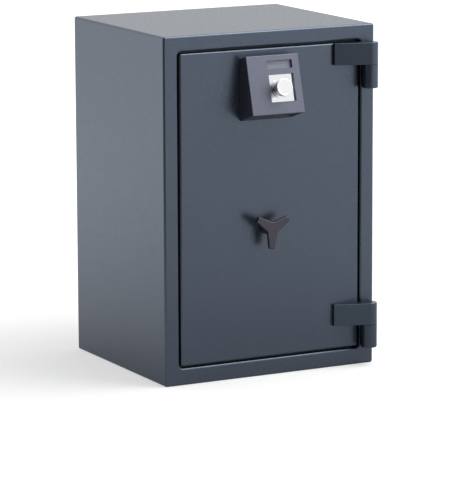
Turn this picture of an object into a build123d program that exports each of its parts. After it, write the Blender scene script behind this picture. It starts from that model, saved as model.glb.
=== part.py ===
from build123d import *
import os
from math import atan2, cos, radians, sin, sqrt, tan

# Security safe with one door, three moving bolt groups and a tilted lock unit.
# Millimetres. +Z is up, the door faces -Y and the hinges are at +X. The origin
# is on the floor, at the centre of the base anchor hole.

# Outer body
BODY_WIDTH = 500.0
BODY_DEPTH = 425.0
BODY_HEIGHT = 735.0
WRAPPER_SHEET = 3.0
BODY_CORNER_R = 5.0
FRONT_EDGE_R = 4.5
BACK_WALL = 50.0

# Front frame and door opening
FRAME_THICKNESS = 8.0
FRAME_SIDE_BORDER = 32.8
FRAME_TOP_BORDER = 32.6
FRAME_BOTTOM_BORDER = 36.4
OPENING_CORNER_R = 9.5
REBATE_WIDTH = 21.2
REBATE_DEPTH = 19.5
SEAL_THICKNESS = 2.2
SEAL_WIDTH = 8.0
SEAL_INSET = 4.0
SEAL_CLEARANCE = 0.3

# Bolt channel and inner box
CHANNEL_REACH = 26.0
CHANNEL_DEPTH = 28.0
LINER_SHEET = 2.0
LINER_SETBACK = 9.0

# Anchor holes
ANCHOR_BORE_R = 9.0
ANCHOR_SLEEVE_WALL = 2.0
BACK_ANCHOR_BELOW_TOP = 175.0

# Shelves
RAIL_WIDTH = 20.0
RAIL_THICKNESS = 3.0
RAIL_END_GAP = 14.0
RAIL_FROM_MOUTH = 50.0
RAIL_FROM_BACK = 32.0
RAIL_HOLE_R = 4.0
RAIL_FIRST_HOLE_HEIGHT = 94.0
RAIL_HOLE_PITCH = 40.0
LOWER_SHELF_HEIGHT = 254.0
UPPER_SHELF_HEIGHT = 454.0
SHELF_SHEET = 2.0
SHELF_LIP = 18.0
SHELF_SIDE_GAP = 1.5
SHELF_FROM_MOUTH = 26.0
SHELF_BACK_GAP = 4.0
CLIP_REACH = 12.0
CLIP_WIDTH = 14.0
CLIP_BELOW_HOLE = 5.0
CLIP_ABOVE_HOLE = 4.0

# Door
DOOR_GAP = 4.0
DOOR_THICKNESS = 10.0
DOOR_CORNER_R = 5.5
PAN_SHEET = 2.0
PAN_DEPTH = 62.0
PAN_SWING_CLEARANCE = 12.0
PAN_HINGE_CLEARANCE = 8.0
PAN_END_CLEARANCE = 8.0
PAN_FLANGE = 14.0
PAN_CORNER_R = 4.0
BARRIER_THICKNESS = 16.0
PAN_FILL_GAP = 0.5
DRILL_PLATE_THICKNESS = 6.0
DRILL_PLATE_WIDTH = 150.0
DRILL_PLATE_HEIGHT = 110.0
BOLTWORK_PLATE_THICKNESS = 3.0
COVER_SHEET = 1.5
COVER_SCREW_R = 2.5
COVER_SCREW_HEAD_R = 4.5
COVER_SCREW_HEAD = 2.5
COVER_SCREW_LENGTH = 6.0

# Hinges
HINGE_INSET = 20.0
HINGE_STANDOFF = 17.7
KNUCKLE_R = 17.2
KNUCKLE_HEIGHT = 50.0
KNUCKLE_END_R = 2.5
KNUCKLE_WEB = 10.0
KNUCKLE_WEB_WIDTH = 25.0
STRAP_LENGTH = 80.3
STRAP_END_THICKNESS = 8.0
STRAP_HEIGHT = 46.4
STRAP_EDGE_R = 1.0
LOWER_HINGE_DROP = 0.3
HINGE_WASHER_THICKNESS = 1.0
HINGE_WASHER_R = 15.5
HINGE_PIN_R = 7.0
HINGE_PIN_IN_KNUCKLE = 42.0
HINGE_PIN_IN_STRAP = 36.0
STRAP_SCREW_R = 4.0
STRAP_SCREW_HEAD_R = 6.5
STRAP_SCREW_HEAD = 4.0
STRAP_SCREW_DEPTH = 8.0
STRAP_BORE_END_GAP = 1.0
STRAP_SCREW_INSETS = (14.0, 32.0)

# Boltwork
BOLT_R = 10.0
BOLT_THROW = 24.0
BOLT_REBATE_CLEARANCE = 1.0
BOLT_PROUD = 1.5
BOLT_CHAMFER = 1.5
BOLT_BUSH_WALL = 3.0
BOLT_BUSH_LENGTH = 10.0
SIDE_BOLT_SPACING = 210.0
SIDE_BOLT_LENGTH = 37.5
BAR_WIDTH = 28.0
BAR_END_MARGIN = 30.0
BAR_THICKNESS = 6.0
ROD_WIDTH = 24.0
ROD_BOLT_LENGTH = 37.5
ROD_PIN_MARGIN = 12.0
FIXED_BOLT_R = 8.0
FIXED_BOLT_REACH = 8.0
FIXED_BOLT_TIP_R = 4.5
FIXED_BOLT_TAPER = 6.0
FIXED_BOLT_COLLAR_R = 10.5
FIXED_BOLT_COLLAR = 4.0
FIXED_BOLT_TAIL = 8.0
GUIDE_WALL = 8.0
GUIDE_LENGTH = 16.0
GUIDE_SLIDE_CLEARANCE = 0.15
INNER_GUIDE_OFFSET = 95.0
LOWER_GUIDE_FROM_BOLT = 44.0
UPPER_GUIDE_BELOW_LOCK = 20.0
SIDE_GUIDE_OFFSET = 80.0

# Cam and handle
HANDLE_X = -13.5
HANDLE_BELOW_MIDDLE = 47.8
HANDLE_ANGLE = 90.0
CAM_START_R = 28.0
CAM_THICKNESS = 6.0
CAM_BAR_GAP = 3.0
CAM_RIM = 7.0
CAM_PIN_R = 5.0
CAM_PIN_CLEARANCE = 0.15
CAM_PIN_END = 1.0
CAM_PIN_ANGLES = (180.0, 90.0, 270.0)
SPINDLE_R = 7.0
SPINDLE_SQUARE = 9.6
SPINDLE_TAIL_R = 4.6
SPINDLE_TAIL = 7.0
SPINDLE_CLIP_R = 9.0
SPINDLE_CLIP = 1.5
SPINDLE_BUSH_WALL = 3.0
SPINDLE_FLANGE_R = 13.0
SPINDLE_FLANGE = 1.5
HANDLE_REACH = 36.0
HANDLE_HUB_R = 15.0
HANDLE_ARM_THICKNESS = 9.5
HANDLE_ARM_R = 43.0
HANDLE_TIP_WIDTH = 11.6
HANDLE_CROTCH_R = 13.9
HANDLE_CORNER_R = 3.2
HANDLE_EDGE_R = 2.4
HANDLE_LEAN = 2.6
HANDLE_BLIND = 14.0
GRUB_R = 2.5
GRUB_FLAT = 0.5
GRUB_SUNK = 1.0

# Lock inside the door
LOCK_CASE_WIDTH = 61.0
LOCK_CASE_HEIGHT = 85.0
LOCK_CASE_DEPTH = 28.0
LOCK_CASE_WALL = 3.0
LOCK_CASE_ROD_GAP = 4.5
LOCK_CASE_TOP_GAP = 3.0
LOCK_COVER_SHEET = 1.5
LOCK_BOLT_THICKNESS = 10.0
LOCK_BOLT_HEIGHT = 14.0
LOCK_BOLT_LENGTH = 34.0
LOCK_BOLT_TRAVEL = 12.0
LOCK_BOLT_CLEARANCE = 0.1
LOCK_NOTCH_CLEARANCE = 0.5
LOCK_SCREW_R = 2.5
LOCK_SCREW_INSET = 6.5

# Lock unit on the door's front
UNIT_X = -11.1
UNIT_BELOW_DOOR_TOP = 71.65
UNIT_STANDOFF = 42.0
UNIT_TILT = 15.0
UNDERSIDE_DRAFT = 2.3
UNIT_WIDTH = 123.0
UNIT_HEIGHT = 124.0
UNIT_WALL = 2.5
UNIT_CORNER_R = 2.0
UNIT_EDGE_R = 1.2
UNIT_PLATE_SHEET = 1.5
UNIT_PLATE_GAP = 1.0
RECESS_LEFT = -13.4
RECESS_WIDTH = 58.2
RECESS_BELOW_WINDOW = 11.5
RECESS_HEIGHT = 58.0
RECESS_DEPTH = 5.0
RECESS_RIB = 2.5
KNOB_PLATE_SHEET = 1.5
KNOB_PLATE_MARGIN = 1.0
WINDOW_BELOW_TOP = 11.8
WINDOW_HEIGHT = 17.3
WINDOW_DEPTH = 6.0
WINDOW_SHEET = 1.5
BOARD_DEPTH = 12.4
BOARD_SHEET = 1.6
BOARD_SIDE_MARGIN = 5.0
BOARD_END_MARGIN = 10.0
POST_R = 3.0
POST_SIDE_INSET = 5.5
POST_END_INSET = 14.0
KNOB_U = 9.8
KNOB_BELOW_RECESS_TOP = 30.4
KNOB_R = 18.8
KNOB_FRONT = 21.0
KNOB_PLATE_GAP = 2.2
KNOB_EDGE_R = 1.2
KNOB_TRAVEL = 1.5
KNOB_SHAFT_R = 3.0
KNOB_SHAFT_FLAT = 2.0
KNOB_SHAFT_REACH = 14.0
KNOB_SHAFT_ROUND_LENGTH = 2.5
PLUNGER_R = 4.5
PLUNGER_LENGTH = 4.5
ENCODER_FLOOR = 0.4
KNOB_BORE_DEPTH = 19.0
ENCODER_SIZE = 14.0
ENCODER_PLATE_GAP = 0.5
RUNNING_FIT = 0.05
SEAT_FIT = 0.1
BATTERY_WIDTH = 26.5
BATTERY_LENGTH = 48.5
BATTERY_THICKNESS = 17.5
BATTERY_CENTRE_U = 27.0
TRAY_SETBACK = 18.5
TRAY_WALL = 1.5
TRAY_PLAY = 0.3
BAY_WALL = 1.5
BAY_PLAY = 0.25
SLOT_U = 50.5
SLOT_WIDTH = 10.0
SLOT_FROM_FACE = 8.0
SLOT_LENGTH = 44.0
CABLE_R = 2.0
CABLE_U = 50.1
CABLE_V = 20.0
CABLE_HOLE_R = 3.5
CABLE_IN_CASE = 6.0
BASE_SCREW_R = 2.5
BASE_SCREW_HEAD_R = 4.5
BASE_SCREW_HEAD = 2.5
BASE_SCREW_DEPTH = 8.0

# Places that follow from the sizes above
FRONT = -BODY_DEPTH / 2
BACK = BODY_DEPTH / 2
BODY_HALF = BODY_WIDTH / 2
BACK_ANCHOR_Z = BODY_HEIGHT - BACK_ANCHOR_BELOW_TOP
OPEN_X = BODY_HALF - FRAME_SIDE_BORDER
OPEN_Z0 = FRAME_BOTTOM_BORDER
OPEN_Z1 = BODY_HEIGHT - FRAME_TOP_BORDER
REBATE_Y0 = FRONT + DOOR_THICKNESS + SEAL_CLEARANCE + SEAL_THICKNESS
REBATE_Y1 = REBATE_Y0 + REBATE_DEPTH
CHANNEL_Y1 = REBATE_Y1 + CHANNEL_DEPTH
LINER_Y0 = CHANNEL_Y1 + LINER_SHEET
LINER_Y1 = BACK - BACK_WALL
DOOR_X = OPEN_X - DOOR_GAP
DOOR_Z0 = OPEN_Z0 + DOOR_GAP
DOOR_Z1 = OPEN_Z1 - DOOR_GAP
DOOR_BACK = FRONT + DOOR_THICKNESS
PAN_X0 = REBATE_WIDTH - OPEN_X + PAN_SWING_CLEARANCE
PAN_X1 = OPEN_X - REBATE_WIDTH - PAN_HINGE_CLEARANCE
PAN_Z0 = OPEN_Z0 + REBATE_WIDTH + PAN_END_CLEARANCE
PAN_Z1 = OPEN_Z1 - REBATE_WIDTH - PAN_END_CLEARANCE
PAN_BACK = DOOR_BACK + PAN_DEPTH
BARRIER_BACK = DOOR_BACK + BARRIER_THICKNESS
PLATE_BACK = BARRIER_BACK + BOLTWORK_PLATE_THICKNESS
BOLT_Y = REBATE_Y1 + BOLT_REBATE_CLEARANCE + BOLT_R
BAR_Y0 = BOLT_Y - BAR_THICKNESS / 2
BAR_Y1 = BOLT_Y + BAR_THICKNESS / 2
CAM_Y0 = BAR_Y1 + CAM_BAR_GAP
CAM_Y1 = CAM_Y0 + CAM_THICKNESS
CAM_R = CAM_START_R + BOLT_THROW + CAM_PIN_R + CAM_RIM
HINGE_X = BODY_HALF - HINGE_INSET
HINGE_Y = FRONT - HINGE_STANDOFF
STRAP_LEFT_X = HINGE_X - STRAP_LENGTH
HINGE_GAP = HINGE_WASHER_THICKNESS + RUNNING_FIT
UPPER_STRAP_Z = DOOR_Z1 - STRAP_HEIGHT
LOWER_STRAP_Z = DOOR_Z0 - LOWER_HINGE_DROP + KNUCKLE_HEIGHT + HINGE_GAP
HANDLE_Z = (DOOR_Z0 + DOOR_Z1) / 2 - HANDLE_BELOW_MIDDLE
UNIT_Z = DOOR_Z1 - UNIT_BELOW_DOOR_TOP
SIDE_BOLT_TIP = PAN_X0 - BOLT_PROUD
BAR_X0 = SIDE_BOLT_TIP + SIDE_BOLT_LENGTH
BAR_X1 = BAR_X0 + BAR_WIDTH
BAR_MID_Z = (PAN_Z0 + PAN_Z1) / 2
SIDE_BOLT_Z = [BAR_MID_Z + step * SIDE_BOLT_SPACING for step in (-1, 0, 1)]
TOP_BOLT_TIP = PAN_Z1 + BOLT_PROUD
BOTTOM_BOLT_TIP = PAN_Z0 - BOLT_PROUD
LOCK_X0 = HANDLE_X + ROD_WIDTH / 2 + LOCK_CASE_ROD_GAP
LOCK_X1 = LOCK_X0 + LOCK_CASE_WIDTH
LOCK_Z1 = PAN_Z1 - PAN_SHEET - LOCK_CASE_TOP_GAP
LOCK_Z0 = LOCK_Z1 - LOCK_CASE_HEIGHT
LOCK_MID_Z = (LOCK_Z0 + LOCK_Z1) / 2
TILT = radians(UNIT_TILT)
RECESS_RIGHT = RECESS_LEFT + RECESS_WIDTH
WINDOW_TOP = UNIT_HEIGHT / 2 - WINDOW_BELOW_TOP
WINDOW_BOTTOM = WINDOW_TOP - WINDOW_HEIGHT
RECESS_TOP = WINDOW_BOTTOM - RECESS_BELOW_WINDOW
RECESS_BOTTOM = RECESS_TOP - RECESS_HEIGHT
KNOB_V = RECESS_TOP - KNOB_BELOW_RECESS_TOP
TRAY_HALF = BATTERY_WIDTH / 2 + TRAY_PLAY + TRAY_WALL
TRAY_DEPTH = BATTERY_THICKNESS + TRAY_PLAY + TRAY_WALL
TRAY_TOP = UNIT_WALL - UNIT_HEIGHT / 2 + BATTERY_LENGTH + 2 * TRAY_PLAY + TRAY_WALL


def block(x0, x1, y0, y1, z0, z1):
    """A box given by its six sides."""
    middle = Pos((x0 + x1) / 2, (y0 + y1) / 2, (z0 + z1) / 2)
    return middle * Box(x1 - x0, y1 - y0, z1 - z0)


def rod_x(x0, x1, y, z, radius):
    """A round bar along X."""
    return Pos((x0 + x1) / 2, y, z) * Rot(0, 90, 0) * Cylinder(radius, x1 - x0)


def rod_y(y0, y1, x, z, radius):
    """A round bar along Y."""
    return Pos(x, (y0 + y1) / 2, z) * Rot(90, 0, 0) * Cylinder(radius, y1 - y0)


def rod_z(z0, z1, x, y, radius):
    """A round bar along Z."""
    return Pos(x, y, (z0 + z1) / 2) * Cylinder(radius, z1 - z0)


def cone_x(x0, x1, y, z, r0, r1):
    """A tapered round bar along X, r0 at x0 and r1 at x1."""
    return Pos((x0 + x1) / 2, y, z) * Rot(0, 90, 0) * Cone(r0, r1, x1 - x0)


def slab(outline, y0, y1):
    """An outline drawn in X and Z, made solid from y0 to y1."""
    face = Plane(origin=(0, y0, 0), x_dir=(1, 0, 0), z_dir=(0, -1, 0)) * outline
    return extrude(face, amount=y1 - y0, dir=(0, 1, 0))


def rounded_slab(x0, x1, z0, z1, y0, y1, corner):
    """A plate in X and Z with rounded corners."""
    outline = Pos((x0 + x1) / 2, (z0 + z1) / 2) * RectangleRounded(x1 - x0, z1 - z0, corner)
    return slab(outline, y0, y1)


def opening_ring(outward, inward, y0, y1):
    """A square ring round the door opening, between two distances from its edge."""
    outer = block(-OPEN_X - outward, OPEN_X + outward, y0, y1, OPEN_Z0 - outward, OPEN_Z1 + outward)
    inner = block(-OPEN_X - inward, OPEN_X + inward, y0, y1, OPEN_Z0 - inward, OPEN_Z1 + inward)
    return outer - inner


def group(solids):
    """Like pieces that share one node."""
    return Compound(children=list(solids))


def anchor_hole():
    """The base anchor's hole and the back anchor's hole, cut through every wall."""
    radius = ANCHOR_BORE_R + ANCHOR_SLEEVE_WALL
    floor = rod_z(0, OPEN_Z0 + REBATE_WIDTH, 0, 0, radius)
    return floor + rod_y(LINER_Y1, BACK, 0, BACK_ANCHOR_Z, radius)


def make_body():
    """The welded body: wrapper, back, front frame, rebate, channel, inner box and filling."""
    nodes = {}
    outline = Pos(0, BODY_HEIGHT / 2) * RectangleRounded(BODY_WIDTH, BODY_HEIGHT, BODY_CORNER_R)
    inner_r = BODY_CORNER_R - WRAPPER_SHEET
    inside = Pos(0, BODY_HEIGHT / 2) * RectangleRounded(
        BODY_WIDTH - 2 * WRAPPER_SHEET, BODY_HEIGHT - 2 * WRAPPER_SHEET, inner_r
    )
    frame_back = FRONT + FRAME_THICKNESS
    holes = anchor_hole()
    nodes["outer_wrapper"] = slab(outline - inside, frame_back, BACK) - holes
    nodes["back_plate"] = slab(inside, BACK - WRAPPER_SHEET, BACK) - holes

    opening = rounded_slab(-OPEN_X, OPEN_X, OPEN_Z0, OPEN_Z1, FRONT, frame_back, OPENING_CORNER_R)
    frame = slab(outline, FRONT, frame_back) - opening
    nodes["front_frame"] = fillet(frame.edges().group_by(Axis.Y)[0], FRONT_EDGE_R)

    rebate_out = CHANNEL_REACH + LINER_SHEET - REBATE_WIDTH
    sleeve = opening_ring(rebate_out, 0, frame_back, REBATE_Y0)
    lip = opening_ring(rebate_out, -REBATE_WIDTH, REBATE_Y0, REBATE_Y1)
    nodes["rebate_frame"] = sleeve + lip
    seal_in = SEAL_INSET - REBATE_WIDTH
    nodes["door_seal"] = opening_ring(seal_in + SEAL_WIDTH, seal_in, REBATE_Y0 - SEAL_THICKNESS, REBATE_Y0)

    liner_in = LINER_SETBACK - REBATE_WIDTH
    channel_in = CHANNEL_REACH - REBATE_WIDTH
    web = opening_ring(rebate_out, channel_in, REBATE_Y1, LINER_Y0)
    floor = opening_ring(channel_in, liner_in, CHANNEL_Y1, LINER_Y0)
    nodes["bolt_channel"] = web + floor
    box_out = liner_in + LINER_SHEET
    walls = opening_ring(box_out, liner_in, LINER_Y0, LINER_Y1)
    back_wall = opening_block(box_out, LINER_Y1, LINER_Y1 + LINER_SHEET)
    nodes["inner_liner"] = walls + back_wall - holes

    fill = slab(inside, frame_back, BACK - WRAPPER_SHEET)
    fill -= opening_block(rebate_out, frame_back, LINER_Y0)
    fill -= opening_block(box_out, LINER_Y0, LINER_Y1 + LINER_SHEET)
    nodes["barrier_fill"] = fill - holes

    sleeve_r = ANCHOR_BORE_R + ANCHOR_SLEEVE_WALL
    floor_z = OPEN_Z0 - liner_in
    nodes["base_anchor_sleeve"] = rod_z(0, floor_z, 0, 0, sleeve_r) - rod_z(0, floor_z, 0, 0, ANCHOR_BORE_R)
    back_sleeve = rod_y(LINER_Y1, BACK, 0, BACK_ANCHOR_Z, sleeve_r)
    nodes["back_anchor_sleeve"] = back_sleeve - rod_y(LINER_Y1, BACK, 0, BACK_ANCHOR_Z, ANCHOR_BORE_R)
    return nodes


def opening_block(outward, y0, y1):
    """A block as wide and high as the door opening, grown outward on all four sides."""
    return block(-OPEN_X - outward, OPEN_X + outward, y0, y1, OPEN_Z0 - outward, OPEN_Z1 + outward)


def nearest_rail_hole(height):
    """The height of the rail hole that is nearest to a wanted shelf height."""
    steps = round((height - RAIL_FIRST_HOLE_HEIGHT) / RAIL_HOLE_PITCH)
    return RAIL_FIRST_HOLE_HEIGHT + steps * RAIL_HOLE_PITCH


def make_shelves():
    """Two shelves on clips in four perforated rails."""
    side = OPEN_X - REBATE_WIDTH + LINER_SETBACK
    floor = OPEN_Z0 + REBATE_WIDTH - LINER_SETBACK
    ceiling = OPEN_Z1 - REBATE_WIDTH + LINER_SETBACK
    rail_face = side - RAIL_THICKNESS
    rail_ys = (LINER_Y0 + RAIL_FROM_MOUTH, LINER_Y1 - RAIL_FROM_BACK)
    hole_count = int((ceiling - RAIL_END_GAP - RAIL_FIRST_HOLE_HEIGHT) // RAIL_HOLE_PITCH) + 1
    shelf_holes = {name: nearest_rail_hole(height) for name, height in (
        ("shelf_lower", LOWER_SHELF_HEIGHT), ("shelf_upper", UPPER_SHELF_HEIGHT),
    )}
    rails = []
    clips = []
    for sign in (-1, 1):
        x0, x1 = sorted((sign * rail_face, sign * side))
        for y in rail_ys:
            rail = block(
                x0, x1, y - RAIL_WIDTH / 2, y + RAIL_WIDTH / 2, floor + RAIL_END_GAP, ceiling - RAIL_END_GAP
            )
            for index in range(hole_count):
                rail -= rod_x(x0, x1, y, RAIL_FIRST_HOLE_HEIGHT + index * RAIL_HOLE_PITCH, RAIL_HOLE_R)
            rails.append(rail)
            for z in shelf_holes.values():
                c0, c1 = sorted((sign * rail_face, sign * (rail_face - CLIP_REACH)))
                half = CLIP_WIDTH / 2
                ledge = block(c0, c1, y - half, y + half, z - CLIP_BELOW_HOLE, z + CLIP_ABOVE_HOLE)
                clips.append(ledge + rod_x(x0, x1, y, z, RAIL_HOLE_R - RUNNING_FIT))
    nodes = {"shelf_rails": group(rails), "shelf_clips": group(clips)}
    shelf_x = rail_face - SHELF_SIDE_GAP
    y0 = LINER_Y0 + SHELF_FROM_MOUTH
    y1 = LINER_Y1 - SHELF_BACK_GAP
    for name, hole_z in shelf_holes.items():
        z0 = hole_z + CLIP_ABOVE_HOLE
        z1 = z0 + SHELF_SHEET
        shelf = block(-shelf_x, shelf_x, y0, y1, z0, z1)
        shelf += block(-shelf_x, shelf_x, y0, y0 + SHELF_SHEET, z1 - SHELF_LIP, z1)
        shelf += block(-shelf_x, shelf_x, y1 - SHELF_SHEET, y1, z1 - SHELF_LIP, z1)
        nodes[name] = shelf
    return nodes


def strap_profile():
    """The hinge strap from above: a wedge that runs tangent into the round knuckle."""
    end = Vector(STRAP_LEFT_X, FRONT - STRAP_END_THICKNESS)
    centre = Vector(HINGE_X, HINGE_Y)
    reach = centre - end
    tangent_length = sqrt(reach.length**2 - KNUCKLE_R**2)
    heading = atan2(reach.Y, reach.X) - atan2(KNUCKLE_R, tangent_length)
    touch = end + Vector(cos(heading), sin(heading)) * tangent_length
    back_y = HINGE_Y + KNUCKLE_R
    step_x = DOOR_X - FRONT_EDGE_R
    outline = Polyline(
        (STRAP_LEFT_X, FRONT),
        (end.X, end.Y),
        (touch.X, touch.Y),
        (HINGE_X, HINGE_Y),
        (HINGE_X, back_y),
        (step_x, back_y),
        (step_x, FRONT),
        close=True,
    )
    return make_face(outline) + Pos(HINGE_X, HINGE_Y) * Circle(KNUCKLE_R)


def make_hinges():
    """Two straps on the door, each turning on a pin in a knuckle of the frame."""
    nodes = {}
    pins = []
    washers = []
    screws = []
    web_half = KNUCKLE_WEB_WIDTH / 2
    for name, z in (("upper", UPPER_STRAP_Z), ("lower", LOWER_STRAP_Z)):
        strap = extrude(Pos(0, 0, z) * strap_profile(), amount=STRAP_HEIGHT)
        rim = strap.edges().group_by(Axis.Z)[0] + strap.edges().group_by(Axis.Z)[-1]
        shown = [edge for edge in rim if edge.center().Y < FRONT - RUNNING_FIT]
        strap = fillet(shown, STRAP_EDGE_R)
        bore_top = z + HINGE_PIN_IN_STRAP + STRAP_BORE_END_GAP
        bore = rod_z(z, bore_top, HINGE_X, HINGE_Y, HINGE_PIN_R + RUNNING_FIT)
        strap -= bore
        for inset in STRAP_SCREW_INSETS:
            x = STRAP_LEFT_X + inset
            screw_z = z + STRAP_HEIGHT / 2
            strap -= rod_y(FRONT - STRAP_SCREW_DEPTH, FRONT, x, screw_z, STRAP_SCREW_R + SEAT_FIT)
            shank = rod_y(FRONT - STRAP_SCREW_DEPTH, DOOR_BACK, x, screw_z, STRAP_SCREW_R)
            screws.append(shank + rod_y(DOOR_BACK - STRAP_SCREW_HEAD, DOOR_BACK, x, screw_z, STRAP_SCREW_HEAD_R))
        nodes["hinge_strap_" + name] = strap

        top = z - HINGE_GAP
        knuckle = rod_z(top - KNUCKLE_HEIGHT, top, HINGE_X, HINGE_Y, KNUCKLE_R)
        knuckle = fillet(knuckle.edges().group_by(Axis.Z)[0], KNUCKLE_END_R)
        knuckle += block(
            HINGE_X - web_half, HINGE_X + web_half, FRONT - KNUCKLE_WEB, FRONT,
            top - KNUCKLE_HEIGHT + KNUCKLE_END_R, top,
        )
        knuckle -= rod_z(top - HINGE_PIN_IN_KNUCKLE, top, HINGE_X, HINGE_Y, HINGE_PIN_R + SEAT_FIT)
        nodes["frame_knuckle_" + name] = knuckle
        pins.append(rod_z(top - HINGE_PIN_IN_KNUCKLE, z + HINGE_PIN_IN_STRAP, HINGE_X, HINGE_Y, HINGE_PIN_R))
        washer = rod_z(top, top + HINGE_WASHER_THICKNESS, HINGE_X, HINGE_Y, HINGE_WASHER_R)
        hole = rod_z(top, top + HINGE_WASHER_THICKNESS, HINGE_X, HINGE_Y, HINGE_PIN_R + RUNNING_FIT)
        washers.append(washer - hole)
    nodes["hinge_pins"] = group(pins)
    nodes["hinge_washers"] = group(washers)
    nodes["strap_screws"] = group(screws)
    return nodes


def cover_screw_places():
    """Six screws round the edge of the boltwork cover."""
    inset = PAN_FLANGE / 2
    middle = (PAN_Z0 + PAN_Z1) / 2
    for x in (PAN_X0 + inset, PAN_X1 - inset):
        for z in (PAN_Z0 + 4 * inset, middle, PAN_Z1 - 4 * inset):
            yield x, z


def cable_axis():
    """X, Z of the lock cable, which runs straight back, and the Y of its front end."""
    board_back = BOARD_DEPTH + BOARD_SHEET
    y = FRONT - UNIT_STANDOFF + CABLE_V * sin(TILT) + board_back * cos(TILT) + CABLE_R * tan(TILT)
    z = UNIT_Z + CABLE_V * cos(TILT) - board_back * sin(TILT)
    return UNIT_X + CABLE_U, z, y


def base_screw_places():
    """The two screws that hold the lock unit's back plate to the door."""
    for step in (-1, 1):
        yield UNIT_X + step * UNIT_WIDTH / 3, UNIT_Z + step * UNIT_HEIGHT / 3


def make_door():
    """The door plate, its pan, the barrier layers and the cover over the boltwork."""
    nodes = {}
    cable_x, cable_z, _ = cable_axis()
    bush_r = SPINDLE_R + SPINDLE_BUSH_WALL
    spindle_hole = rod_y(FRONT, PLATE_BACK, HANDLE_X, HANDLE_Z, bush_r + SEAT_FIT)
    cable_hole = rod_y(FRONT, PLATE_BACK, cable_x, cable_z, CABLE_HOLE_R)

    plate = rounded_slab(-DOOR_X, DOOR_X, DOOR_Z0, DOOR_Z1, FRONT, DOOR_BACK, DOOR_CORNER_R)
    plate = fillet(plate.edges().group_by(Axis.Y)[0], FRONT_EDGE_R)
    plate -= spindle_hole + cable_hole
    for z in (UPPER_STRAP_Z + STRAP_HEIGHT / 2, LOWER_STRAP_Z + STRAP_HEIGHT / 2):
        for inset in STRAP_SCREW_INSETS:
            x = STRAP_LEFT_X + inset
            plate -= rod_y(FRONT, DOOR_BACK, x, z, STRAP_SCREW_R + SEAT_FIT)
            plate -= rod_y(DOOR_BACK - STRAP_SCREW_HEAD, DOOR_BACK, x, z, STRAP_SCREW_HEAD_R + SEAT_FIT)
    for x, z in base_screw_places():
        plate -= rod_y(FRONT, FRONT + BASE_SCREW_DEPTH, x, z, BASE_SCREW_R + SEAT_FIT)
    nodes["door_plate"] = plate

    pan = block(PAN_X0, PAN_X1, DOOR_BACK, PAN_BACK, PAN_Z0, PAN_Z1)
    pan -= block(
        PAN_X0 + PAN_SHEET, PAN_X1 - PAN_SHEET, DOOR_BACK, PAN_BACK - PAN_SHEET,
        PAN_Z0 + PAN_SHEET, PAN_Z1 - PAN_SHEET,
    )
    pan -= block(
        PAN_X0 + PAN_FLANGE, PAN_X1 - PAN_FLANGE, PAN_BACK - PAN_SHEET, PAN_BACK,
        PAN_Z0 + PAN_FLANGE, PAN_Z1 - PAN_FLANGE,
    )
    bush_out = BOLT_R + BOLT_BUSH_WALL + SEAT_FIT
    for z in SIDE_BOLT_Z:
        pan -= rod_x(PAN_X0, PAN_X0 + PAN_SHEET, BOLT_Y, z, bush_out)
        pan -= rod_x(PAN_X1 - PAN_SHEET, PAN_X1, BOLT_Y, z, FIXED_BOLT_R + SEAT_FIT)
    pan -= rod_z(PAN_Z0, PAN_Z0 + PAN_SHEET, HANDLE_X, BOLT_Y, bush_out)
    pan -= rod_z(PAN_Z1 - PAN_SHEET, PAN_Z1, HANDLE_X, BOLT_Y, bush_out)
    for x, z in cover_screw_places():
        pan -= rod_y(PAN_BACK - PAN_SHEET, PAN_BACK, x, z, COVER_SCREW_R + SEAT_FIT)
    nodes["door_pan"] = pan

    gap = PAN_SHEET + PAN_FILL_GAP
    inside = (PAN_X0 + gap, PAN_X1 - gap)
    height = (PAN_Z0 + gap, PAN_Z1 - gap)
    drill_y = BARRIER_BACK - DRILL_PLATE_THICKNESS
    drill_x = (UNIT_X - DRILL_PLATE_WIDTH / 2, UNIT_X + DRILL_PLATE_WIDTH / 2)
    drill_z = (height[1] - DRILL_PLATE_HEIGHT, height[1])
    drill = block(*drill_x, drill_y, BARRIER_BACK, *drill_z)
    nodes["drill_plate"] = drill - cable_hole
    nodes["door_barrier"] = block(*inside, DOOR_BACK, BARRIER_BACK, *height) - drill - cable_hole - spindle_hole
    nodes["boltwork_plate"] = block(*inside, BARRIER_BACK, PLATE_BACK, *height) - cable_hole - spindle_hole

    cover = rounded_slab(PAN_X0, PAN_X1, PAN_Z0, PAN_Z1, PAN_BACK, PAN_BACK + COVER_SHEET, PAN_CORNER_R)
    screws = []
    for x, z in cover_screw_places():
        cover -= rod_y(PAN_BACK, PAN_BACK + COVER_SHEET, x, z, COVER_SCREW_R + SEAT_FIT)
        head_y = PAN_BACK + COVER_SHEET
        head = rod_y(head_y, head_y + COVER_SCREW_HEAD, x, z, COVER_SCREW_HEAD_R)
        screws.append(head + rod_y(head_y - COVER_SCREW_LENGTH, head_y, x, z, COVER_SCREW_R))
    nodes["boltwork_cover"] = cover
    nodes["cover_screws"] = group(screws)
    return nodes


def bolt_x(tip, end, y, z):
    """A round bolt along X with a chamfered tip."""
    step = BOLT_CHAMFER if end > tip else -BOLT_CHAMFER
    straight = rod_x(min(tip + step, end), max(tip + step, end), y, z, BOLT_R)
    if end > tip:
        return straight + cone_x(tip, tip + step, y, z, BOLT_R - BOLT_CHAMFER, BOLT_R)
    return straight + cone_x(tip + step, tip, y, z, BOLT_R, BOLT_R - BOLT_CHAMFER)


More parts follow.
